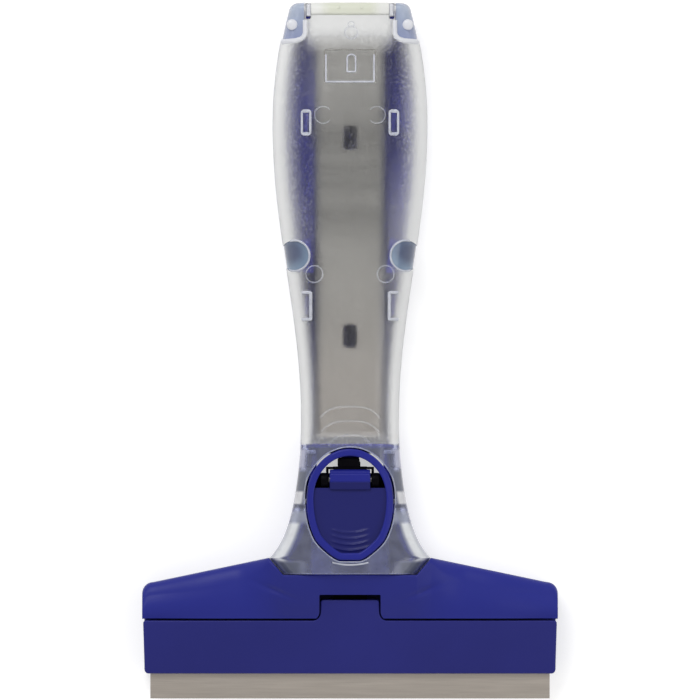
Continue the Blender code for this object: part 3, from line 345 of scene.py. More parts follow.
# Two ribs along the back cover carry the drawer, and four flat hooks on it snap into the front shell.
# They are moulded in one with the cover. Behind the pin it has two openings that daylight shows through.
def rounded_outline(corners, radius, steps=6):
    """Swaps each corner for an arc: its centre is on the bisector, at the radius over the sine of half the
    corner."""
    spot = np.array(corners, float)
    radius = np.broadcast_to(np.asarray(radius, float), len(spot))
    back, on = np.roll(spot, 1, 0) - spot, np.roll(spot, -1, 0) - spot
    back /= np.linalg.norm(back, axis=1, keepdims=True)
    on /= np.linalg.norm(on, axis=1, keepdims=True)
    half = np.arccos(np.clip((back * on).sum(1), -1, 1)) / 2
    middle = (back + on) / np.linalg.norm(back + on, axis=1, keepdims=True)
    centre = spot + middle * (radius / np.sin(half))[:, None]
    start = spot + back * (radius / np.tan(half))[:, None] - centre
    stop = spot + on * (radius / np.tan(half))[:, None] - centre
    sweep = (np.pi - 2 * half)[:, None, None]
    t = np.linspace(0, 1, steps)[None, :, None]
    arcs = (np.sin((1 - t) * sweep) * start[:, None] + np.sin(t * sweep) * stop[:, None]) / np.sin(sweep)
    return (centre[:, None] + arcs).reshape(-1, 2)


def drawn_in(outline, distance):
    """Moves a closed outline inwards: each point goes along the bisector of its two neighbouring edges."""
    before, after = outline - np.roll(outline, 1, 0), np.roll(outline, -1, 0) - outline
    before /= np.maximum(np.linalg.norm(before, axis=1, keepdims=True), 1e-12)
    after /= np.maximum(np.linalg.norm(after, axis=1, keepdims=True), 1e-12)
    inward = np.stack([-(before + after)[:, 1], (before + after)[:, 0]], 1)
    inward /= np.maximum(np.linalg.norm(inward, axis=1, keepdims=True), 1e-12)
    along = np.maximum((inward * np.stack([-before[:, 1], before[:, 0]], 1)).sum(1, keepdims=True), 0.4)
    return outline + inward * distance / along


def anticlockwise(outline):
    """The outline's points in the order that gives it a positive area, by the sum of its cross products."""
    x, y = np.asarray(outline, float).T
    area = (x * np.roll(y, -1) - y * np.roll(x, -1)).sum()
    return np.column_stack([x, y])[:: -1 if area < 0 else 1]


def pressed_plate(name, outline, low, high, round_top=0.0003, round_low=0.0002, steps=5):
    """A plate with rounded rims: quarter rounds are carried along the outline at the top and at the foot.
    low and high are heights, or functions of the outline's points."""
    outline = anticlockwise(outline)
    bow = np.linspace(0, np.pi / 2, steps)
    rings = []
    for turn in bow[::-1]:
        ring = drawn_in(outline, round_low * (1 - np.cos(turn)))
        level = low(ring) if callable(low) else np.full(len(ring), low)
        rings.append(np.column_stack([ring, level + round_low * (1 - np.sin(turn))]))
    for turn in bow:
        ring = drawn_in(outline, round_top * (1 - np.cos(turn)))
        level = high(ring) if callable(high) else np.full(len(ring), high)
        rings.append(np.column_stack([ring, level - round_top * (1 - np.sin(turn))]))
    return closed_body(name, np.stack(rings))


def prism(name, outline, low, high):
    """A straight cutter with this outline."""
    outline = anticlockwise(outline)
    rings = [np.column_stack([outline, np.full(len(outline), level)]) for level in (low, high)]
    return closed_body(name, np.stack(rings))


def bar_outline(x0, y0, x1, y1, radius=0.0002):
    """A rectangle with rounded corners. Its two sides may come in either order."""
    x0, x1 = sorted((x0, x1))
    return rounded_outline([(x0, y0), (x1, y0), (x1, y1), (x0, y1)], radius)


def cut(piece, *tools):
    """Cuts the tools from a piece, and bakes the result into its mesh."""
    for tool in tools:
        step = piece.modifiers.new(tool.name, "BOOLEAN")
        step.operation, step.solver, step.object = "DIFFERENCE", "EXACT", tool
    graph = bpy.context.evaluated_depsgraph_get()
    mesh = bpy.data.meshes.new_from_object(piece.evaluated_get(graph))
    piece.modifiers.clear()
    piece.data = mesh
    mesh.shade_smooth()
    mesh.set_sharp_from_angle(angle=math.radians(32))
    for tool in tools:
        bpy.data.objects.remove(tool)
    return piece


for side in (-1, 1):
    corners = np.array([(2.3, -30.6), (8.8, -30.6), (8.8, -28.2), (6.2, -25.7), (2.3, -25.7)]) * (side, 1)
    light_hole = prism("opening_tool", rounded_outline(corners / 1000, 0.0006), -0.002, 0.006)
    cut(back_cover, light_hole)


def joined(name, pieces):
    """One mesh from several closed bodies that belong to the same moulding."""
    shape = bmesh.new()
    for item in pieces:
        shape.from_mesh(item.data)
        bpy.data.objects.remove(item)
    mesh = bpy.data.meshes.new(name)
    shape.to_mesh(mesh)
    shape.free()
    return piece_from(name, mesh)


hook_rows = (0.0571, 0.0112)
cover_ribs = [pressed_plate("bulkhead", bar_outline(-0.0103, -0.0243, 0.0103, -0.0232), 0.0012, 0.0142)]
for side in (-1, 1):
    rib = bar_outline(side * 0.0072, -0.0215, side * 0.0084, 0.0785)
    cover_ribs.append(pressed_plate("rib", rib, 0.0008, 0.00765))
    for row in hook_rows:
        hook = bar_outline(side * 0.01035, row - 0.0022, side * 0.01115, row + 0.0022)
        cover_ribs.append(pressed_plate("hook", hook, 0.0008, 0.0146))
    stay = bar_outline(side * 0.010272, -0.0391, side * 0.013248, -0.0383)
    cover_ribs.append(pressed_plate("stay", stay, 0.0030, 0.0120))


def side_tab(side, low_y, high_y, top_turn, inset=wall + 0.0003, thick=0.0008, count=40, low_turn=-62):
    """A tab that stands up inside the grip's wall: the grip's own section, drawn in, from one turn to
    another."""
    rows = np.linspace(high_y, low_y, count)
    turn = (np.radians(low_turn), np.radians(top_turn))
    outer, inner = [grip_loop(rows, deep, 40, turn) * (side, 1, 1) for deep in (inset, inset + thick)]
    return slab("tab", outer, inner)


for side in (-1, 1):
    cover_ribs.append(side_tab(side, 0.0196, 0.0280, 52))
    cover_ribs.append(side_tab(side, -0.0555, -0.0308, 34, wall + 0.0013))
    cover_ribs.append(side_tab(side, -0.0307, -0.0245, 34, wall + 0.0013, low_turn=-30))
cover_ribs = joined("cover_ribs_and_hooks", cover_ribs)
cover_ribs.data.materials.append(cover_blue)
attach(cover_ribs, "handle")


# The yoke in the neck is black glass-filled nylon. It carries the lever's pin in two ears and ties
# the head to the grip, with a thin bar and a stub over the barrel. The draw bar slides on its plate.
def yoke_black(name, grain):
    """Black nylon: near black with a warm cast, finely speckled, with scuffed shine."""
    made, tree, shader, place = blank_material(name)
    speck = noise(tree, place, 1 / grain, 4.0)
    tone = tint(tree, speck, (0.0010, 0.0008, 0.0018), (0.0040, 0.0034, 0.0055))
    feed(tree, tone, shader.inputs["Base Color"])
    shader.inputs["Specular IOR Level"].default_value = 0.04
    feed(tree, reckon(tree, "MULTIPLY_ADD", speck, 0.25, 0.32), shader.inputs["Roughness"])
    bumped(tree, shader, speck, 0.3)
    return made


def dress(name, paint):
    """Gives a CAD node's every slot this material."""
    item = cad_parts[name]
    if not item.data.materials:
        item.data.materials.append(paint)
    for slot in item.material_slots:
        slot.material = paint


axle_y, axle_z = -0.0321, 0.016


def upright_plate(name, outline, left, right, soft=0.00012, steps=4):
    """A plate that stands across the tool: its outline is in y and z about the pin, and quarter rounds are
    carried along it at both faces, which may come in either order."""
    outline = anticlockwise(np.asarray(outline, float) + (axle_y, axle_z))
    left, right = sorted((left, right))
    bow = np.linspace(0, np.pi / 2, steps)
    rings = [(soft * (1 - np.cos(turn)), left + soft * (1 - np.sin(turn))) for turn in bow[::-1]]
    rings += [(soft * (1 - np.cos(turn)), right - soft * (1 - np.sin(turn))) for turn in bow]
    grid = [np.column_stack([np.full(len(outline), level), drawn_in(outline, inset)])
            for inset, level in rings]
    return closed_body(name, np.stack(grid))


def pin_arc(radius, start, stop, count=12):
    """Points about the pin: the radius times the cosine and the sine of the turn, in degrees up from the side
    that faces the grip."""
    turn = np.radians(np.linspace(start, stop, count))
    return radius * np.column_stack([np.cos(turn), np.sin(turn)])


plate = np.array([(-8.9, -60.2), (8.9, -60.2), (8.9, -30.7), (2.6, -30.7), (2.6, -28.1), (-2.6, -28.1),
                  (-2.6, -30.7), (-8.9, -30.7)])
plate_rounds = [0.0008] * 3 + [0.0005] * 4 + [0.0008]
yoke = [pressed_plate("yoke_plate", rounded_outline(plate / 1000, plate_rounds), 0.0049, 0.0070)]
arm = np.array([(-1.1, -0.8), (-1.9, -1.5), (-5.4, -1.5), (-5.4, -10.0), (-3.0, -10.0), (-3.0, -3.9),
                (-1.8, -2.25), (-0.6, -1.2)])
web = np.vstack([[(0, 0)], pin_arc(0.0031, -22, 19)])
ear = pin_arc(0.0017, 0, 350, 36)
ear_face = 0.00535
for side in (-1, 1):
    leg = bar_outline(side * 0.0044, -0.0535, side * 0.0066, -0.0336)
    yoke.append(pressed_plate("yoke_leg", leg, 0.0020, 0.0055))
    yoke.append(upright_plate("yoke_arm", arm / 1000, side * ear_face, side * 0.0069))
    yoke.append(upright_plate("yoke_ear", ear, side * ear_face, side * 0.0073, 0.0003))
    yoke.append(upright_plate("yoke_web", web, side * ear_face, side * 0.0060))
thin_bar = np.vstack([pin_arc(0.00264, -14, 14), pin_arc(0.0032, 14, -14)])
yoke.append(upright_plate("yoke_bar", thin_bar, -0.0060, 0.0060))
stub = bar_outline(-0.0031, -0.0291, 0.0024, -0.0266, 0.0006)
yoke.append(pressed_plate("yoke_stub", stub, 0.0151, 0.0169, 0.0004, 0.0003))
yoke = joined("neck_yoke_moulding", yoke)
yoke.data.materials.append(yoke_black("yoke_nylon", 0.0004))
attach(yoke, "handle")
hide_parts("neck_frame")
dress("draw_bar", yoke_black("draw_bar_nylon", 0.0005))


# The blades are rolled carbon steel strip with two slots, ground to an edge. One works in the head and
# five lie in the drawer. The rolling leaves fine lines along their length, and a film of oil dulls them.
def blade_steel(name, lengthwise, base):
    """Rolled steel: lines drawn out along the strip change its colour and shine a little."""
    made, tree, shader, place = blank_material(name)
    shader.inputs["Metallic"].default_value = 1.0
    drawn = node(tree, "ShaderNodeMapping")
    drawn.inputs["Scale"].default_value = (1.0, 0.03, 1.0) if lengthwise else (0.03, 1.0, 1.0)
    feed(tree, place, drawn.inputs["Vector"])
    lines, cloud = noise(tree, drawn.outputs["Vector"], 3200.0, 3.0), noise(tree, place, 60.0, 4.0)
    dark, pale = [tuple(value * change for value in base) for change in (0.86, 1.12)]
    warm = tuple(value * change for value, change in zip(base, (0.9, 0.86, 0.8)))
    colour = tint(tree, reckon(tree, "MULTIPLY", cloud, 0.30), tint(tree, lines, dark, pale), warm)
    feed(tree, colour, shader.inputs["Base Color"])
    feed(tree, reckon(tree, "MULTIPLY_ADD", lines, 0.18, 0.30), shader.inputs["Roughness"])
    bumped(tree, shader, lines, 0.12, 0.00002)
    return made


strip_low, strip_high, strip_half = -0.0215, 0.0785, 0.0088
slot_rows = (0.0533, 0.0038)


def spare_blade(number):
    """A strip with a small round at each corner, and two slots whose ends are rounded the same way."""
    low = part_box(f"spare_blade_{number}")[0][2]
    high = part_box(f"spare_blade_{number}")[1][2]
    outline = bar_outline(-strip_half, strip_low, strip_half, strip_high, 0.0004)
    strip = pressed_plate("strip", outline, low, high, 0.00004, 0.00004, 2)
    slots = [prism("slot_tool", bar_outline(-0.00175, row - 0.0030, 0.00175, row + 0.0030, 0.0011), 0.0, 0.03)
             for row in slot_rows]
    strip = cut(strip, *slots)
    strip.name = f"spare_blade_strip_{number}"
    return strip


def strip_steel():
    """Spare steel that lies in shade under the grip: its tone changes along it in darker and lighter bands,
    and painted shade darkens both of its edges, where the lips of the tray shade them."""
    made = blade_steel("spare_blade_steel", True, (0.37, 0.36, 0.345))
    tree = made.node_tree
    shader = tree.nodes["Principled BSDF"]
    plain = shader.inputs["Base Color"].links[0].from_socket
    x, y, z = apart(tree, node(tree, "ShaderNodeTexCoord").outputs["Object"])
    warm = reckon(tree, "MULTIPLY", step_up(tree, y, 0.030, -0.015), 0.8)
    plain = tint(tree, warm, plain, (0.385, 0.352, 0.325))
    # The tones below make the strip darker and lighter in bands along its length.
    bands = node(tree, "ShaderNodeValToRGB")
    along = reckon(tree, "SUBTRACT", y, strip_low)
    feed(tree, reckon(tree, "DIVIDE", along, strip_high - strip_low), bands.inputs["Fac"])
    tones = ((-0.0175, 0.86), (-0.0022, 0.82), (0.0052, 0.76), (0.0167, 0.78), (0.0267, 0.72), (0.0307, 0.57),
             (0.0337, 0.47), (0.0357, 0.50), (0.0375, 0.58), (0.0395, 0.53), (0.0410, 0.46), (0.0465, 0.46),
             (0.0487, 0.53), (0.0503, 0.42), (0.0547, 0.42), (0.0585, 0.55), (0.0627, 0.63), (0.0727, 0.78))
    while len(bands.color_ramp.elements) < len(tones):
        bands.color_ramp.elements.new(0.5)
    for element, (row, tone) in zip(bands.color_ramp.elements, tones):
        element.position = (row - strip_low) / (strip_high - strip_low)
    for element, (row, tone) in zip(bands.color_ramp.elements, tones):
        element.color = (tone, tone, tone, 1)
    toned = node(tree, "ShaderNodeMix", data_type="RGBA", blend_type="MULTIPLY")
    toned.inputs["Factor"].default_value = 1.0
    feed(tree, plain, toned.inputs["A"])
    feed(tree, bands.outputs["Color"], toned.inputs["B"])
    bright = node(tree, "ShaderNodeVectorMath", operation="SCALE")
    feed(tree, toned.outputs["Result"], bright.inputs[0])
    bright.inputs["Scale"].default_value = 1.62
    # Painted shade: both edges of the strip are tinted a dim blue-grey, for the shade under the tray's lips.
    shade = reckon(tree, "MULTIPLY", step_up(tree, x, 0.0066, 0.0090), 0.85)
    feed(tree, tint(tree, shade, bright.outputs[0], (0.075, 0.078, 0.125)), shader.inputs["Base Color"])
    return made


spare_steel = strip_steel()
for number in range(1, 6):
    strip = spare_blade(number)
    strip.data.materials.append(spare_steel)
    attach(strip, "drawer")
    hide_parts(f"spare_blade_{number}")
dress("lever_axle", blade_steel("pin_steel", False, (0.22, 0.22, 0.22)))


# The working blade is clamped between the seat and the jaw. Its lower edge is ground from both faces
# to a bright bevel a millimetre deep.
edge_low, blade_top = -0.087, -0.069
blade_back, blade_front = 0.0049, 0.0052


def ground_blade():
    """The strip's section, with its ground edge, carried across the tool in 41 steps."""
    section = np.array([
        (edge_low, blade_back + 0.00013), (edge_low, blade_back + 0.00017), (edge_low + 0.0009, blade_front),
        (edge_low + 0.004, blade_front), (blade_top, blade_front), (blade_top, blade_back),
        (edge_low + 0.004, blade_back), (edge_low + 0.0009, blade_back),
    ])
    across = np.linspace(-0.05, 0.05, 41)
    x = np.broadcast_to(across[:, None], (41, len(section)))
    y = np.broadcast_to(section[:, 0], x.shape)
    z = np.broadcast_to(section[:, 1], x.shape)
    return closed_body("ground_blade", np.stack([x, y, z], -1))


working_blade = ground_blade()
working_blade.data.materials.append(blade_steel("working_blade_steel", False, (0.64, 0.58, 0.52)))
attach(working_blade, "handle")
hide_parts("scraper_blade")


# The head is moulded in blue ABS: a seat plate behind the blade, a housing that caps the neck and
# spreads into two wings, and the jaw in front. Their faces have a fine satin texture.
head_level, wing_x, tip_x, tip_round = -0.05592, 0.02025, 0.04925, 0.00275


def head_top(x):
    """The head's upper edge: level under the neck, up round the flare, straight down the wing, and a round
    tip whose square root takes it to the end."""
    x = np.abs(x)
    rise = head_level + (flare_y - head_level) * (x - foot_half) / (wing_x - foot_half)
    wing = flare_y - 0.0061 * (x - wing_x) / (tip_x - wing_x)
    tip = -0.0606 + np.sqrt(np.maximum(tip_round**2 - np.clip(x - tip_x, 0, tip_round) ** 2, 0))
    return np.where(x <= foot_half, head_level, np.where(x <= wing_x, rise, np.where(x <= tip_x, wing, tip)))


def head_body():
    """Sections of the housing, one for each x: a rounded upper edge, a slope down to the seam with a soft
    swell in it, and a small round at the seam. On each side a bell curve sinks a slanting crease."""
    half = np.concatenate([
        np.linspace(0, foot_half, 36), np.linspace(0.0170, wing_x, 9), np.linspace(0.0207, tip_x, 60),
        tip_x + tip_round * np.sin(np.linspace(0.12, 1.5, 12)),
    ])
    x = np.concatenate([-half[:0:-1], half])[:, None]
    away = np.abs(x)
    top = head_top(x)
    blend = eased((away - 0.0162) / 0.013)
    tip = eased((away - 0.0331) / (0.052 - 0.0331))
    crest = 0.0165 - 0.0040 * blend - 0.0025 * tip
    foot = 0.0115 - 0.0015 * tip
    seam, bottom = -0.0671, 0.0049
    bow = np.linspace(0, np.pi / 2, 14)
    crisp = 0.3 + 0.7 * eased((away - 0.0190) / 0.0045)
    deep = 0.0012 * crisp + 0.0034 * blend * (1 - 0.45 * tip)
    edge = 0.0014 * crisp + 0.0009 * blend
    round_y = top - deep * (1 - np.cos(bow))
    round_z = crest - edge * (1 - np.sin(bow))
    share = np.linspace(0.05, 0.95, 30)
    slope_y = round_y[:, -1:] + (seam + 0.0005 - round_y[:, -1:]) * share
    slope_z = crest + (foot - crest) * share + 0.0005 * np.sin(np.pi * share)
    crease = (slope_y + 0.0606 - 0.42 * (away - 0.0170)) / 0.0007
    slope_z = slope_z - 0.00055 * np.exp(-crease**2) * np.exp(-((away - 0.0188) / 0.0040) ** 2)
    seam_y = seam + 0.0004 * (1 - np.sin(bow[:5]))
    seam_z = foot - 0.0004 * (1 - np.cos(bow[:5]))
    ones = np.ones_like(x)
    y = np.hstack([seam * ones, top * ones, round_y, slope_y, seam_y * ones])
    z = np.hstack([bottom * ones, bottom * ones, round_z, slope_z, seam_z])
    return closed_body("head_cap", np.stack([np.broadcast_to(x, y.shape), y, z], -1))


def block(name, low, high):
    """A plain cutter between two corners."""
    x, y, z = np.array([low, high]).T
    loop = np.array([[x[0], y[0]], [x[1], y[0]], [x[1], y[1]], [x[0], y[1]]])
    points = np.stack([np.column_stack([loop, np.full(4, level)]) for level in z])
    return closed_body(name, points)


notch_outline = rounded_outline(
    [(0.00765, -0.0609), (-0.00765, -0.0609), (-0.00765, -0.0673), (-0.0125, -0.0673),
     (-0.0125, -0.0700), (0.0125, -0.0700), (0.0125, -0.0673), (0.00765, -0.0673)],
    [0.0003, 0.0003, 0.0020, 0.0002, 0.0002, 0.0002, 0.0002, 0.0020],
)
head_root = pressed_plate("head_root", bar_outline(-0.0097, -0.0600, 0.0097, -0.0462, 0.0005), 0.0104, 0.0114)
head_cap = cut(
    head_body(),
    prism("notch_tool", notch_outline, 0.0, 0.03),
    block("bar_tool", (-0.0045, -0.0685, 0.0), (0.0045, -0.05, 0.0103)),
    block("frame_tool", (-0.0093, -0.0606, 0.0), (0.0093, -0.05, 0.0073)),
)
head_cap = joined("head_cap_moulding", [head_cap, head_root])
head_paint, tree, shader, place, speck = moulded_blue("head_blue", (0.019, 0.024, 0.225), 0.42)
x, y, z = apart(tree, place)
# Painted sheen: the wings are painted paler and bluer than the middle, where they catch more of the light.
wing = reckon(tree, "MULTIPLY", step_up(tree, x, 0.014, 0.026), 0.8)
feed(tree, tint(tree, wing, speck, (0.021, 0.028, 0.275)), shader.inputs["Base Color"])
head_cap.data.materials.append(head_paint)
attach(head_cap, "handle")
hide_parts("head_housing")

seat_half = 0.0515
seat_end = np.linspace(0.0493, seat_half, 9)
seat_x = np.concatenate([-seat_end[::-1], np.linspace(-0.0485, 0.0485, 91), seat_end])
seat_corners = [(seat_half, -0.062), (seat_half, -0.08025), (-seat_half, -0.08025), (-seat_half, -0.062)]
seat_outline = np.vstack([
    np.column_stack([seat_x, head_top(seat_x * 0.052 / seat_half)]),
    rounded_outline(seat_corners, 0.0006)[6:18],
])


def seat_back(points):
    """The seat's back: flat, then a bevel that thins it towards the blade's edge."""
    return np.clip((-0.07375 - points[:, 1]) * 0.0018 / 0.0065, 0, 0.0018)


blade_seat = pressed_plate("blade_seat_plate", seat_outline, seat_back, 0.0046, 0.0002, 0.0005)
blade_seat.data.materials.append(moulded_blue("seat_blue", (0.019, 0.024, 0.215), 0.42)[0])
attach(blade_seat, "handle")
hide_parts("blade_seat")


# The jaw clamps the blade from the front. Its tongue reaches up into the housing's notch, flush with
# the jaw's sloping face, and has softly rounded roots where it meets the seam.
jaw_outline = rounded_outline(
    [(0.00735, -0.0622), (-0.00735, -0.0622), (-0.00735, -0.0674), (-0.05175, -0.0674), (-0.0514, -0.08075),
     (0.0514, -0.08075), (0.05175, -0.0674), (0.00735, -0.0674)],
    [0.0007, 0.0007, 0.0020, 0.0007, 0.0010, 0.0010, 0.0007, 0.0020], 9,
)


def jaw_face(points):
    """The jaw's face: one plane that falls towards the blade."""
    return 0.0115 + (points[:, 1] + 0.0674) * (0.0115 - 0.0072) / 0.01335


front_jaw = pressed_plate("front_jaw_bar", jaw_outline, 0.0055, jaw_face, 0.0004, 0.0002, 7)
front_jaw.data.materials.append(moulded_blue("jaw_blue", (0.019, 0.022, 0.195), 0.42)[0])
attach(front_jaw, "jaw")
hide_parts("front_jaw")


# The clamp lever is one gloss moulding: an oval rim crowned like the neck it sits in, a sunk thumb
# plate with four shallow ribs, a window above it and the barrel that turns on the pin.
oval_y = axle_y - 0.00465
oval_half, oval_high, oval_low = 0.01088, 0.01235, 0.0157
oval_tail = oval_y - oval_low + 0.00025


def oval(angle, grow=0.0):
    """The lever's outline: half an ellipse above, and below a fuller curve of power 2.2 whose end is cut
    flat, with a straight slope at each corner of the cut. Where slope and curve meet, a square law rounds
    them."""
    c, s = np.cos(angle), np.sin(angle)
    below = s < 0
    x = np.where(below, np.sign(c) * np.abs(c) ** (2 / 2.2), c) * (oval_half + grow)
    y = np.where(below, -np.abs(s) ** (2 / 2.2) * (oval_low + grow), s * (oval_high + grow))
    tail = oval_tail - grow
    y = np.maximum(oval_y + y, tail)
    slope = 0.0034 + 0.5 * grow + 1.22 * (y - tail)
    near = np.clip(1 - np.abs(np.abs(x) - slope) / 0.0012, 0, 1)
    return np.stack([np.sign(x) * (np.minimum(np.abs(x), slope) - 0.0003 * near**2), y], -1)


def even(outline, count):
    """Spaces points evenly along a closed outline by its running length."""
    ring = np.vstack([outline, outline[:1]])
    run = np.concatenate([[0], np.cumsum(np.linalg.norm(np.diff(ring, axis=0), axis=1))])
    spots = np.linspace(0, run[-1], count, endpoint=False)
    return np.stack([np.interp(spots, run, ring[:, k]) for k in (0, 1)], -1)


def crown(x, y, proud=0.0):
    """Height of the grip's outside at a place: one less x cubed, to the power of a third."""
    reach = np.clip(np.abs(x) / (grip_half(y) + proud), 0, 0.999)
    return side_height + (grip_crest(y) + proud - side_height) * (1 - reach**3) ** (1 / 3)


def lever_rim():
    """A rounded bar carried round the oval: each point of its section is a distance in from the outline and
    a share of the height from the foot to the crown."""
    path = even(oval(np.linspace(0, 2 * np.pi, 1440, endpoint=False)), 240)
    low, thick, soft = 0.0146, 0.0018, 0.00045
    bow = np.linspace(0, np.pi / 2, 6)
    bow = np.linspace(0, np.pi / 2, 6)
    upper = [(soft * (1 - math.cos(a)), soft * (1 - math.sin(a))) for a in bow]
    upper += [(thick - soft * (1 - math.sin(a)), soft * (1 - math.cos(a))) for a in bow]
    lower = [(thick, 0.0012), (thick, 0.0002), (thick - 0.0002, 0.0), (0.0002, 0.0), (0.0, 0.0002)]
    loop = []
    for inset, drop in upper:
        at = drawn_in(path, inset)
        loop.append(np.column_stack([at, crown(at[:, 0], at[:, 1], 0.0003) - drop]))
    for inset, rise in lower:
        at = drawn_in(path, inset)
        loop.append(np.column_stack([at, np.full(len(at), low + rise)]))
    return skin("rim", np.stack(loop), wrap_rows=True, wrap_columns=True)


def lever_floor():
    """The sunk plate below the window: rows from the window's edge to the tail, each as wide as the rim's
    inside. It is dished a little, and the ribs are raised waves on four sagging lines."""
    rows = np.linspace(axle_y - 0.0021, oval_tail + 0.0012, 90)
    border = oval(np.linspace(-np.pi / 2, np.pi / 2, 2000), -0.0011)
    order = np.argsort(border[:, 1])
    width = np.interp(rows, border[order, 1], border[order, 0])
    across = np.sin(np.linspace(-np.pi / 2, np.pi / 2, 61))
    x = width[:, None] * across
    y = np.broadcast_to(rows[:, None], x.shape)
    depth = 0.0166 - 0.00035 * (1 - across**2) + 0 * x
    line = y + 0.0009 * (1 - (x / 0.0045) ** 2)
    fade = 1 / (1 + np.exp((np.abs(x) - 0.0043) / 0.0003))
    for rib in range(4):
        depth = depth + 0.00028 * np.exp(-((line - (-0.04455 - 0.00145 * rib)) / 0.00028) ** 2) * fade
    top = np.stack([x, y, depth], -1)
    under = np.stack([x, y, np.full_like(x, 0.0149)], -1)
    return slab("floor", top, under)


def lever_barrel():
    """The barrel's section, carried along the pin with eased ends: a circle below, and above it three flats
    that meet in soft ridges, the last one sloping down to the floor."""
    turn = np.linspace(0, 2 * np.pi, 72, endpoint=False)
    ring_y, ring_z = 0.0025 * np.cos(turn), 0.0025 * np.sin(turn)
    roof = np.interp(ring_y, [-0.0026, -0.0024, -0.0007, -0.0005, 0.0014, 0.0017, 0.0020, 0.0025],
                     [0.0007, 0.0010, 0.00175, 0.00205, 0.00215, 0.00165, 0.0016, 0.0008])
    raised = np.maximum(ring_z, roof * (np.abs(ring_y) > 0.0018))
    ring_z = np.where(ring_z > 0, np.minimum(raised, roof), ring_z)
    ends = np.array([-0.00505, -0.00505, -0.0049, 0.0049, 0.00505, 0.00505])
    scale = np.array([0.80, 0.93, 1.0, 1.0, 0.93, 0.80])
    x = np.broadcast_to(ends[:, None], (6, 72))
    y = axle_y + scale[:, None] * ring_y
    z = axle_z + scale[:, None] * ring_z
    return closed_body("barrel", np.stack([x, y, z], -1))


def crank_arm():
    """The crank below the barrel: a tapered web with a round nose, as one rounded plate stood on its edge."""
    along = np.array([math.cos(math.radians(-45)), math.sin(math.radians(-45))])
    aside = np.array([-along[1], along[0]])
    turn = np.linspace(-np.pi / 2, np.pi / 2, 16)
    nose = along * 0.0036 + 0.00075 * (np.cos(turn)[:, None] * along + np.sin(turn)[:, None] * aside)
    side = np.vstack([aside * -0.0009, nose, aside * 0.0009])
    x = np.array([-0.002, 0.002])
    at = (axle_y, axle_z) + side
    return closed_body("crank", np.stack([np.column_stack([np.full(len(side), level), at]) for level in x]))


clamp_lever = joined("clamp_lever_moulding", [lever_rim(), lever_floor(), lever_barrel(), crank_arm()])
lever_tone = (0.015, 0.020, 0.262)
lever_paint, tree, shader, place, speck = moulded_blue("lever_blue", lever_tone, 0.32, 0.0006, 0.15)
x, y, z = apart(tree, place)
# Painted shade: the sunk plate and a strip under the barrel are painted a darker, greyer blue than the rim.
sunk = reckon(tree, "MULTIPLY", reckon(tree, "LESS_THAN", z, 0.0169), reckon(tree, "LESS_THAN", y, -0.0339))
top_edge = reckon(tree, "COMPARE", y, -0.0337, 0.0009)
beside = reckon(tree, "MULTIPLY", reckon(tree, "LESS_THAN", x, 0.0052), top_edge)
recess_shade = reckon(tree, "MULTIPLY", reckon(tree, "MAXIMUM", sunk, beside), 0.85)
feed(tree, tint(tree, recess_shade, speck, (0.016, 0.018, 0.130)), shader.inputs["Base Color"])
clamp_lever.data.materials.append(lever_paint)
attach(clamp_lever, "lever")
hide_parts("clamp_lever")


# The blade drawer is natural polypropylene, milky where it is thick at its end cap and nearly clear
# along its thin walls. The cap is flush with the grip's end and has a nail groove across it.
def natural_plastic(name):
    """Milky plastic. Its see-through share grows away from the cap, and the cap yellows in the middle."""
    made, tree, shader, place = blank_material(name)
    x, y, z = apart(tree, place)
    cloud = noise(tree, place, 260.0, 3.0)
    yellow = reckon(tree, "MULTIPLY", step_up(tree, x, 0.0085, 0.0045), step_up(tree, y, 0.0825, 0.0850))
    base = tint(tree, yellow, (0.90, 0.905, 0.87), (0.78, 0.80, 0.66))
    base = tint(tree, reckon(tree, "MULTIPLY", cloud, 0.2), base, (0.90, 0.90, 0.86))
    milk = step_up(tree, y, 0.0755, 0.0820, 0.05, 0.97)
    feed(tree, tint(tree, milk, (0.10, 0.11, 0.22), base), shader.inputs["Base Color"])
    feed(tree, milk, shader.inputs["Alpha"])
    feed(tree, reckon(tree, "MULTIPLY_ADD", cloud, 0.15, 0.34), shader.inputs["Roughness"])
    return made


def drawer_tray():
    """The open box of the tray: an outline with a wall all round it, and a thin floor with three windows."""
    outer = bar_outline(-0.0100, -0.0233, 0.0100, 0.0850, 0.0008)
    tray = pressed_plate("drawer_tray", outer, 0.0080, 0.0130, 0.0002, 0.0003)
    room = prism("room_tool", bar_outline(-0.0093, -0.0218, 0.0093, 0.0788, 0.0006), 0.0092, 0.02)
    groove = prism("groove_tool", bar_outline(-0.0068, 0.08383, 0.0068, 0.08417, 0.0001), 0.0085, 0.02)
    bar = 0.008
    span = (strip_high - strip_low - 4 * bar) / 3
    starts = [strip_low + bar + row * (span + bar) for row in range(3)]
    windows = [prism("floor_tool", bar_outline(-0.0072, start, 0.0072, start + span, 0.001), 0.0, 0.01)
               for start in starts]
    return cut(tray, room, groove, *windows)


def drawer_cap():
    """The cap: sections of the grip between the two sides of the drawer's mouth, closed at both ends."""
    bow = np.linspace(np.pi / 2, 0, 9)
    round_rows = end_y - end_round * (1 - np.cos(bow))
    rows = np.concatenate([[0.08395], np.linspace(0.0842, end_y - 0.0018, 10), round_rows])
    across = np.linspace(-0.0097, 0.0097, 61)
    x = np.broadcast_to(across, (len(rows), 61))
    y = np.broadcast_to(rows[:, None], x.shape)
    top = crown(x, y)
    groove = 0.00045 * np.exp(-((y - 0.0840) / 0.00022) ** 2)
    low = np.full_like(x, 0.0080)
    return slab("drawer_cap", np.stack([x, y, top - groove], -1), np.stack([x, y, low], -1))


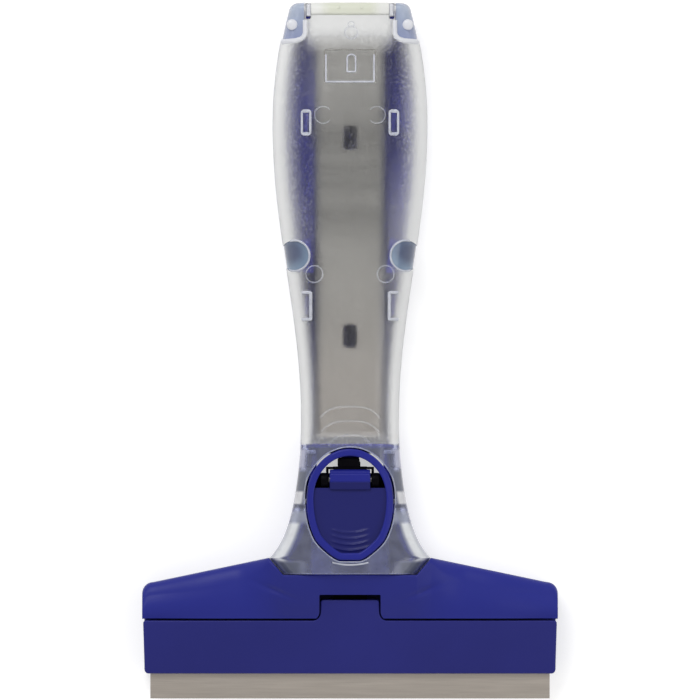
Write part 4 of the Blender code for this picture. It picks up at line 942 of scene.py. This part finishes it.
tray = drawer_tray()
tray_paint = natural_plastic("natural_drawer")
tray.data.materials.append(tray_paint)
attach(tray, "drawer")
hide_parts("blade_drawer")
cap_parts = [drawer_cap()]
dot_turn = np.linspace(0, 2 * np.pi, 48, endpoint=False)
dot = 0.00042 * np.column_stack([np.cos(dot_turn), np.sin(dot_turn)])
for name, outline, proud in (
    ("cap_pad", bar_outline(-0.0063, 0.08435, 0.0063, 0.08625, 0.0004), 0.00012),
    ("cap_dot", even((-0.0029, 0.08585) + dot, 24), 0.00028),
    ("cap_dot", even((0.0029, 0.08585) + dot, 24), 0.00028),
):
    raised = pressed_plate(name, outline, 0.0150, lambda p: crown(p[:, 0], p[:, 1], proud), 0.0001)
    cap_parts.append(raised)
cap = joined("drawer_cap", cap_parts)
cap.data.materials.append(tray_paint)
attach(cap, "drawer")


# The front shell is the clear moulding that makes the grip. It is frosted from its end to the
# lever and polished at the neck, in the finger dimples and in the two corner pockets.
dimple_x, dimple_y = 0.0139, 0.0238


def clear_plastic(name):
    """Clear plastic that bends light. Where frost_share is one its outside is frosted: a fine pebbled bump
    blurs what lies behind, and a speckled veil of white scatters light, as much as milk_share says. In the
    neck, the finger dimples and the corner pockets, patches of the wall are painted with tones that stand
    for light and shade: painted highlights and reflections, painted shade, and the blue of the parts behind.
    Lamps shine through, as through a real wall."""
    made, tree, shader, place = blank_material(name)
    x, y, z = apart(tree, place)
    outside, skin_share, veil, inset = [
        node(tree, "ShaderNodeAttribute", attribute_name=wanted).outputs["Fac"]
        for wanted in ("frost_share", "skin_share", "milk_share", "side_inset")
    ]

    def times(first, second):
        """The product of two values."""
        return reckon(tree, "MULTIPLY", first, second)

    def less(value):
        """What is left of one."""
        return reckon(tree, "SUBTRACT", 1.0, value)

    def within(value, low, high, soft):
        """One between low and high, with a smooth step at both."""
        rise = step_up(tree, value, low - soft, low + soft)
        return times(rise, step_up(tree, value, high + soft, high - soft))

    def patch(low_y, high_y, soft_y, across, low, high, soft):
        """One inside a soft-edged patch, between two rows and between two values across."""
        return times(within(y, low_y, high_y, soft_y), within(across, low, high, soft))

    def distance(x0, y0):
        """How far the place is from this point, seen from above."""
        dx, dy = reckon(tree, "SUBTRACT", x, x0), reckon(tree, "SUBTRACT", y, y0)
        return reckon(tree, "SQRT", reckon(tree, "MULTIPLY_ADD", dx, dx, times(dy, dy)))

    grip = step_up(tree, y, -0.0238, -0.0230)
    neck = less(grip)
    dimple = reckon(tree, "LESS_THAN", distance(dimple_x, dimple_y), 0.0038)
    dimple = times(dimple, step_up(tree, z, 0.0070, 0.0102))
    pocket = times(reckon(tree, "GREATER_THAN", y, 0.0777), reckon(tree, "GREATER_THAN", x, 0.0115))
    frost = times(times(outside, grip), less(reckon(tree, "MAXIMUM", dimple, pocket)))
    grain, cloud = noise(tree, place, 1900.0), noise(tree, place, 420.0, 3.0)
    speck = node(tree, "ShaderNodeMapRange")
    feed(tree, grain, speck.inputs["Value"])
    speck.inputs["From Min"].default_value = 0.48
    speck.inputs["From Max"].default_value = 0.76
    loud = reckon(tree, "MULTIPLY_ADD", times(veil, less(veil)), 0.80, 0.12)
    milk = reckon(tree, "ADD", times(speck.outputs["Result"], loud), times(veil, 0.88))
    milk = reckon(tree, "MULTIPLY", milk, frost, clamp=True)
    dim = times(neck, reckon(tree, "MULTIPLY_ADD", cloud, 0.24, 0.13))
    milk = reckon(tree, "MAXIMUM", milk, times(dim, outside))
    # The neck's wall is tinted blue-grey, a painted stand-in for the blue parts seen through it.
    shell_tone = tint(tree, neck, (0.93, 0.935, 0.93), (0.46, 0.49, 0.70))
    # Painted shade: each finger dimple is painted dark blue at its middle and paler blue-grey at its rim.
    dimple_shade_share = step_up(tree, distance(0.0147, 0.0247), 0.0012, 0.0050)
    dimple_shade_tone = tint(tree, dimple_shade_share, (0.115, 0.142, 0.235), (0.27, 0.37, 0.50))
    # The corner pockets are painted blue-grey, darker next to their outline: painted shade.
    pocket_shade_tone = tint(tree, step_up(tree, y, 0.0775, 0.0850), (0.34, 0.39, 0.60), (0.47, 0.54, 0.69))
    pocket_shade_tone = tint(tree, step_up(tree, inset, 0.0010, 0.0002), pocket_shade_tone, (0.24, 0.27, 0.40))
    # Painted highlight: a pale band down the middle of the neck's side wall, dimmer at both sides.
    tube_highlight = tint(tree, within(inset, 0.0006, 0.0026, 0.0007), (0.57, 0.60, 0.67), (0.92, 0.94, 0.97))
    base = times(within(y, -0.0600, -0.0526, 0.0005), step_up(tree, x, 0.0100, 0.0135))
    # Each patch paints the neck's wall with a tone for light or shade in the polished plastic: painted
    # highlights and reflections in the pale ones, painted shade in the dark ones. The last patch paints the
    # head's blue where the shell lies over it.
    painted_light_zones = [
        (dimple, 0.85, dimple_shade_tone),
        (pocket, 0.85, pocket_shade_tone),
        (patch(-0.0292, -0.0246, 0.0004, inset, -0.001, 0.0014, 0.0003), 0.80, (0.53, 0.54, 0.70)),
        (patch(-0.0384, -0.0298, 0.0007, inset, -0.001, 0.0023, 0.0005), 0.72, (0.165, 0.18, 0.245)),
        (patch(-0.0312, -0.0294, 0.0007, inset, 0.0022, 0.0036, 0.0004), 0.55, (0.25, 0.28, 0.42)),
        (patch(-0.0383, -0.0351, 0.0004, inset, -0.001, 0.0020, 0.0004), 0.85, (0.82, 0.82, 0.85)),
        (patch(-0.0393, -0.0383, 0.0003, inset, 0.0003, 0.0075, 0.0003), 0.60, (0.14, 0.15, 0.22)),
        (patch(-0.0428, -0.0399, 0.0008, inset, 0.0000, 0.0070, 0.0006), 0.68, (0.42, 0.45, 0.57)),
        (patch(-0.0526, -0.0429, 0.0006, inset, -0.001, 0.0028, 0.0007), 0.85, tube_highlight),
        (base, 0.88, (0.145, 0.16, 0.22)),
        (patch(-0.0562, -0.0490, 0.0010, x, 0.0048, 0.0096, 0.0009), 0.42, (0.30, 0.325, 0.54)),
        (patch(-0.0600, -0.0524, 0.0003, inset, -0.001, 0.0009, 0.0005), 0.92, (0.42, 0.46, 0.66)),
        (step_up(tree, y, -0.0555, -0.0556), 0.90, (0.115, 0.125, 0.30)),
    ]
    upper = times(skin_share, step_up(tree, z, 0.0035, 0.0092))
    for zone, share, colour in painted_light_zones:
        zone = times(zone, upper)
        uneven = reckon(tree, "MULTIPLY_ADD", cloud, 0.3, share - 0.15)
        milk = reckon(tree, "ADD", milk, times(zone, reckon(tree, "SUBTRACT", uneven, milk)), clamp=True)
        shell_tone = tint(tree, zone, shell_tone, colour)
    feed(tree, less(milk), shader.inputs["Transmission Weight"])
    feed(tree, shell_tone, shader.inputs["Base Color"])
    shader.inputs["IOR"].default_value = 1.46
    feed(tree, reckon(tree, "MULTIPLY_ADD", frost, 0.26, 0.04), shader.inputs["Roughness"])
    bumped(tree, shader, grain, reckon(tree, "MULTIPLY_ADD", frost, 0.07, 0.02))
    open_air = node(tree, "ShaderNodeBsdfTransparent")
    feed(tree, tint(tree, milk, (0.93, 0.935, 0.94), (0.45, 0.45, 0.45)), open_air.inputs["Color"])
    last = node(tree, "ShaderNodeMixShader")
    feed(tree, node(tree, "ShaderNodeLightPath").outputs["Is Shadow Ray"], last.inputs[0])
    feed(tree, shader.outputs[0], last.inputs[1])
    feed(tree, open_air.outputs[0], last.inputs[2])
    feed(tree, last.outputs[0], tree.nodes["Material Output"].inputs["Surface"])
    return made


def frost_shares(piece):
    """Writes four values on each point. frost_share is one on the grip's outside and nought inside it, and
    skin_share takes in the floors of the shallow recesses too. milk_share grows from the middle to the
    outline as the square of the distance over the half width, with half cosines to a white roof over the
    cap and to a thin haze at the neck, and a bell curve beside the blades. side_inset is how far the point
    lies in from the outline, square to it."""
    mesh = piece.data
    flat = np.empty(len(mesh.vertices) * 3)
    mesh.vertices.foreach_get("co", flat)
    x, y, z = flat.reshape(-1, 3).T
    half, crest = grip_half(y), grip_crest(y)
    aside = np.abs(x) / half
    above, below = (z - side_height) / (crest - side_height), (side_height - z) / below_side
    height = np.where(z >= side_height, above, below)
    ratio = (np.minimum(aside, 1.2) ** 3 + np.abs(height) ** 3) ** (1 / 3)
    slim = np.clip((palm_half - half) / (palm_half - waist_half), 0, 1)
    start, stop = 0.575 + 0.05 * slim, 0.93 - 0.05 * slim
    share = np.clip((aside - start) / (stop - start), 0, 1) ** 2
    roof = 0.9 * eased((y - 0.0731) / 0.0088) * eased((0.0128 - np.abs(x)) / 0.0040)
    foot = 0.27 * eased((-0.0197 - y) / 0.0018)
    haze = 0.075 * np.exp(-((y - 0.0300) / 0.0110) ** 2) * eased((np.abs(x) - 0.0085) / 0.0020)
    rim = np.clip((aside - 0.965) / 0.03, 0, 1)
    lean = (grip_half(y + 0.0002) - grip_half(y - 0.0002)) / 0.0004
    values = {
        "frost_share": (ratio > 0.978).astype(float),
        "skin_share": (ratio > 0.945).astype(float),
        "milk_share": (np.maximum(np.maximum(share, roof), foot) + haze) * (1 - 0.7 * rim),
        "side_inset": (half - np.abs(x)) / np.sqrt(1 + lean**2),
    }
    for name, numbers in values.items():
        mesh.attributes.new(name, "FLOAT", "POINT").data.foreach_set("value", numbers)


def grip_body(name, rows, inset, count=112):
    """The whole grip, or the room in it, as one closed body."""
    return closed_body(name, grip_loop(rows, inset, count + 1)[:, :-1])


def recess_tool(name, outline, depth, low_y, high_y):
    """What a shallow recess takes off the grip: a column with this outline, outside a core this much
    deeper."""
    rows = grip_rows[(grip_rows > low_y - 0.004) & (grip_rows < high_y + 0.004)]
    core = grip_body("core_tool", np.concatenate([[high_y + 0.005], rows, [low_y - 0.005]]), depth, 160)
    return cut(prism(name, outline, 0.0045, 0.03), core)


def arc(x, y, radius, start, stop, count=40):
    """Points on part of a circle, in degrees."""
    turn = np.radians(np.linspace(start, stop, count))
    return np.column_stack([x + radius * np.cos(turn), y + radius * np.sin(turn)])


recesses = []
for side in (-1, 1):
    pocket = np.array([(11.6, 89.5), (11.6, 77.9), (25.0, 76.6), (25.0, 89.5)]) * (side, 1)
    pocket = rounded_outline(pocket / 1000, [0.0005, 0.0016, 0.0005, 0.0005])
    dimple = arc(side * dimple_x, dimple_y, 0.00375, 0, 355, 72)
    notch = bar_outline(side * 0.0097, 0.0829, side * 0.0110, 0.0890, 0.0003)
    recesses.append(recess_tool("pocket_tool", pocket, 0.00035, 0.0766, 0.0895))
    recesses.append(recess_tool("dimple_tool", dimple, 0.00018, 0.020, 0.0276))
    recesses.append(prism("notch_tool", notch, 0.0095, 0.03))
shell = grip_body("front_shell_moulding", grip_rows, 0.0)
hollow_rows = np.concatenate([grip_rows[grip_rows <= end_y - 0.00161], [foot_y - 0.0001]])
hollow_grid = grip_loop(hollow_rows, wall, 113)[:, :-1]
hollow_grid[-1, :, 1] = foot_y - 0.002
hollow = closed_body("hollow_tool", hollow_grid)
panel_x = trough_edge(cover_rows) + 0.0003
panel_outline = np.vstack([
    np.column_stack([panel_x, cover_rows]), [(panel_x[-1], foot_y - 0.002), (-panel_x[-1], foot_y - 0.002)],
    np.column_stack([-panel_x, cover_rows])[::-1],
])
catch_gap = prism("catch_tool", bar_outline(-0.00655, 0.0669, 0.00655, 0.0753, 0.0005), 0.013, 0.03)


def opening(count, extra=0.0):
    """The lever's opening: its outline grown by half a millimetre, and a little more beside the pin, where
    the rim swings through, as a bell curve of the turn."""
    turn = np.linspace(0, 2 * np.pi, 1440, endpoint=False)
    bell = np.exp(-((np.degrees(np.arcsin(np.sin(turn))) - 23) / 12) ** 2)
    inner, outer = oval(turn, 0.00045 + extra), oval(turn, 0.00060 + extra)
    return even(inner + (outer - inner) * bell[:, None], count)


lever_gap = prism("lever_tool", opening(200), 0.010, 0.03)
shell = cut(
    shell, hollow,
    prism("panel_tool", panel_outline, -0.002, 0.006),
    block("mouth_tool", (-0.0100, 0.08385, 0.00765), (0.0100, 0.09, 0.03)),
    block("passage_tool", (-0.01035, 0.0806, 0.00765), (0.01035, 0.09, 0.01335)),
    lever_gap, catch_gap, *recesses,
)
frost_shares(shell)
shell_paint = clear_plastic("clear_frosted_grip")
shell.data.materials.append(shell_paint)
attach(shell, "handle")
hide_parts("handle_front_shell")


# The catch is a tongue of the same clear plastic. It is moulded in the shell's wall and slit free on
# three sides, so that a thumb can press it in. The small mark on it is drawn with the lines below.
catch_rows = np.linspace(0.0750, 0.0672, 24)
catch_across = np.linspace(-0.00625, 0.00625, 31)


def catch_skin(proud):
    """The tongue's outside or inside: the grip's own surface between the slits, raised or sunk evenly."""
    x = np.broadcast_to(catch_across, (24, 31))
    y = np.broadcast_to(catch_rows[:, None], x.shape)
    return np.stack([x, y, crown(x, y, proud)], -1)


catch = slab("catch_tongue", catch_skin(0.0), catch_skin(-wall))
frost_shares(catch)
catch.data.materials.append(shell_paint)
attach(catch, "catch")
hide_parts("drawer_catch")


# Bright lines show where the clear moulding turns a sharp corner: round the hook windows, the
# ejector marks, the catch and the lever's opening. Each is a fine bead on the wall, painted whitish as a
# painted highlight of that edge.
def bead(name, path, radius, closed=True):
    """A round bead carried along a path: the circle stands square to the path's own direction."""
    path = np.asarray(path, float)
    ahead = np.roll(path, -1, 0) - np.roll(path, 1, 0)
    if not closed:
        ahead[0], ahead[-1] = path[1] - path[0], path[-1] - path[-2]
    ahead /= np.linalg.norm(ahead, axis=1, keepdims=True)
    side = np.cross(ahead, (0, 0, 1))
    side /= np.linalg.norm(side, axis=1, keepdims=True)
    rise = np.cross(side, ahead)
    turn = np.linspace(0, 2 * np.pi, 10, endpoint=False)
    c, s = np.cos(turn)[None, :, None], np.sin(turn)[None, :, None]
    rings = path[:, None] + radius * (c * side[:, None] + s * rise[:, None])
    return skin(name, rings, wrap_rows=closed, wrap_columns=True, lids=not closed)


def on_grip(outline, sink=0.0):
    """Lifts a flat outline onto the grip's outside, sunk by this much."""
    outline = np.asarray(outline, float)
    return np.column_stack([outline, crown(outline[:, 0], outline[:, 1]) - sink])


def dense(corners, count=24):
    """Straight lines through the corners, with this many points on each."""
    corners = np.asarray(corners, float)
    t = np.linspace(0, 1, count, endpoint=False)[None, :, None]
    return np.vstack([((1 - t) * corners[:-1, None] + t * corners[1:, None]).reshape(-1, 2), corners[-1:]])


lines, marks, scoops = [], [], []
for side in (-1, 1):
    x0, x1 = sorted((side * 0.0099, side * 0.0120))
    lines.append(bead("window_line", on_grip(bar_outline(x0, 0.0540, x1, 0.0600, 0.0006)), 0.0003))
    for row in (0.0543, 0.0597):
        window_end = dense([(x0 + 0.0004, row), (x1 - 0.0004, row)], 8)
        lines.append(bead("window_end", on_grip(window_end), 0.0003, closed=False))
    bracket = dense(np.array([(11.9, 14.6), (9.8, 14.6), (9.8, 7.9), (11.9, 7.9)]) / 1000 * (side, 1))
    lines.append(bead("bracket_line", on_grip(bracket), 0.00042, closed=False))
    marks.append(bead("round_mark", on_grip(arc(side * 0.0089, 0.0192, 0.0021, 0, 351), 0.00005), 0.00016))
    reach = (40, 320) if side < 0 else (-140, 140)
    c_mark = arc(side * 0.0067, 0.0589, 0.0021, *reach)
    marks.append(bead("c_mark", on_grip(c_mark, 0.00005), 0.00012, closed=False))
    inner = (-108, 104) if side < 0 else (76, 288)
    dimple = arc(side * dimple_x, dimple_y, 0.0038, *inner)
    lines.append(bead("dimple_line", on_grip(dimple), 0.00027, closed=False))
catch_line = dense([(-0.0060, 0.0740), (-0.0060, 0.0672), (0.0060, 0.0672), (0.0060, 0.0740)])
lines.append(bead("catch_line", on_grip(catch_line), 0.00025, closed=False))
mark_corners = [(-0.0007, 0.0697), (0.0014, 0.0697), (0.0014, 0.0740), (-0.0007, 0.0740)]
mark = rounded_outline(mark_corners, [0.0002, 0.0002, 0.00095, 0.00095])
lines.append(bead("catch_mark", on_grip(mark), 0.00022))
marks.append(bead("gate_ring", on_grip(arc(0.0003, 0.0795, 0.00155, 0, 351), 0.00005), 0.00022))
gate_tip = arc(0.0003, 0.0815, 0.00075, -50, 230)
marks.append(bead("gate_tip", on_grip(gate_tip, 0.00005), 0.00016, closed=False))
lines.append(bead("lever_line", on_grip(opening(240, 0.00004), 0.0002), 0.00017))
across = np.linspace(-1, 1, 40)
for reach, row, thick in ((0.0074, -0.0139, 0.00022), (0.0072, -0.0175, 0.00022), (0.0053, -0.0210, 0.00028)):
    scoop = np.column_stack([reach * across, row - 0.0022 * across**4 - 0.0006 * across**2])
    scoops.append(bead("scoop_line", on_grip(scoop, 0.00005), thick, closed=False))
nail = np.column_stack([np.linspace(-0.0044, 0.0046, 30), -0.0534 + 0.0006 * np.linspace(-1, 1, 30) ** 2])
lines.append(bead("nail_lip", on_grip(nail, 0.0001), 0.00022, closed=False))
for side in (-1, 1):
    foot_line = dense([(0.0, -0.05560), (side * 0.0165, -0.05560), (side * 0.0200, -0.05180)], 40)
    scoops.append(bead("foot_line", on_grip(foot_line, 0.0001), 0.00018, closed=False))
bright_lines = joined("moulded_bright_lines", lines)
faint_lines = joined("moulded_faint_marks", marks)
scoop_lines = joined("moulded_scoop_lines", scoops)


def bright_edge(name, share):
    """A painted highlight on a polished edge: mostly white, partly clear, a little uneven."""
    made, tree, shader, place = blank_material(name)
    cloud = noise(tree, place, 500.0)
    feed(tree, tint(tree, cloud, (0.66, 0.69, 0.80), (0.84, 0.86, 0.92)), shader.inputs["Base Color"])
    feed(tree, reckon(tree, "MULTIPLY_ADD", cloud, share * 0.8, share * 0.6), shader.inputs["Alpha"])
    shader.inputs["Roughness"].default_value = 0.2
    return made


bright_lines.data.materials.append(bright_edge("painted_edge_highlights", 0.7))
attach(bright_lines, "handle")
faint_lines.data.materials.append(bright_edge("faint_edges", 0.26))
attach(faint_lines, "handle")
scoop_lines.data.materials.append(bright_edge("fainter_edges", 0.11))
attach(scoop_lines, "handle")


# Small solid bodies of the same clear moulding look milky where light gathers in them: a post and a lip
# in each corner pocket, pads in the notches and the snap lugs beside the lever.
def domed_post(name, x, y, radius, low, proud):
    """A round post with a domed top: circles that shrink as the height follows a quarter circle."""
    turn = np.linspace(0, 2 * np.pi, 36, endpoint=False)
    bow = np.linspace(0, np.pi / 2 * 0.96, 8)
    size = np.concatenate([[radius], radius * np.cos(bow)])
    top = float(crown(abs(x) - radius, y)) - proud
    level = np.concatenate([[low], top + 0.35 * radius * (np.sin(bow) - 1)])
    ring = np.column_stack([np.cos(turn), np.sin(turn)])
    rings = [np.column_stack([(x, y) + r * ring, np.full(len(ring), z)]) for r, z in zip(size, level)]
    return closed_body(name, np.stack(rings))


lugs = []
for side in (-1, 1):
    lugs.append(domed_post("post", side * 0.01445, 0.0815, 0.00135, 0.0070, 0.00005))
    upright, foot = dense([(0.0111, 0.0826), (0.0111, 0.0799)]), dense([(0.0134, 0.07745), (0.0167, 0.0772)])
    lip = np.vstack([upright, arc(0.0132, 0.0797, 0.0021, 180, 262, 20), foot])
    lugs.append(bead("pocket_lip", on_grip(lip * (side, 1), 0.00045), 0.0007, closed=False))
    notch_pad = bar_outline(side * 0.00976, 0.0836, side * 0.01094, 0.0866)
    lugs.append(pressed_plate("notch_pad", notch_pad, 0.0085, lambda p: crown(p[:, 0], p[:, 1]) - 0.0006))
    for name, inner, outer, low_y, high_y, low, high in (
        ("lug_bar", 0.0084, 0.0108, -0.0257, -0.0247, 0.0128, 0.0142),
        ("lug_stem", 0.0106, 0.0117, -0.0288, -0.0250, 0.0100, 0.0135),
        ("lug_pad", 0.0106, 0.0120, -0.0381, -0.0370, 0.0080, 0.0130),
    ):
        lugs.append(pressed_plate(name, bar_outline(side * inner, low_y, side * outer, high_y), low, high))
lugs = joined("milky_posts_and_lugs", lugs)


def gathered_light(name):
    """The clear plastic where it is thick and full of light: a cloudy pale lavender white."""
    made, tree, shader, place = blank_material(name)
    cloud = noise(tree, place, 700.0)
    feed(tree, tint(tree, cloud, (0.72, 0.73, 0.80), (0.86, 0.87, 0.90)), shader.inputs["Base Color"])
    shader.inputs["Roughness"].default_value = 0.3
    return made


lugs.data.materials.append(gathered_light("milky_clear"))
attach(lugs, "handle")
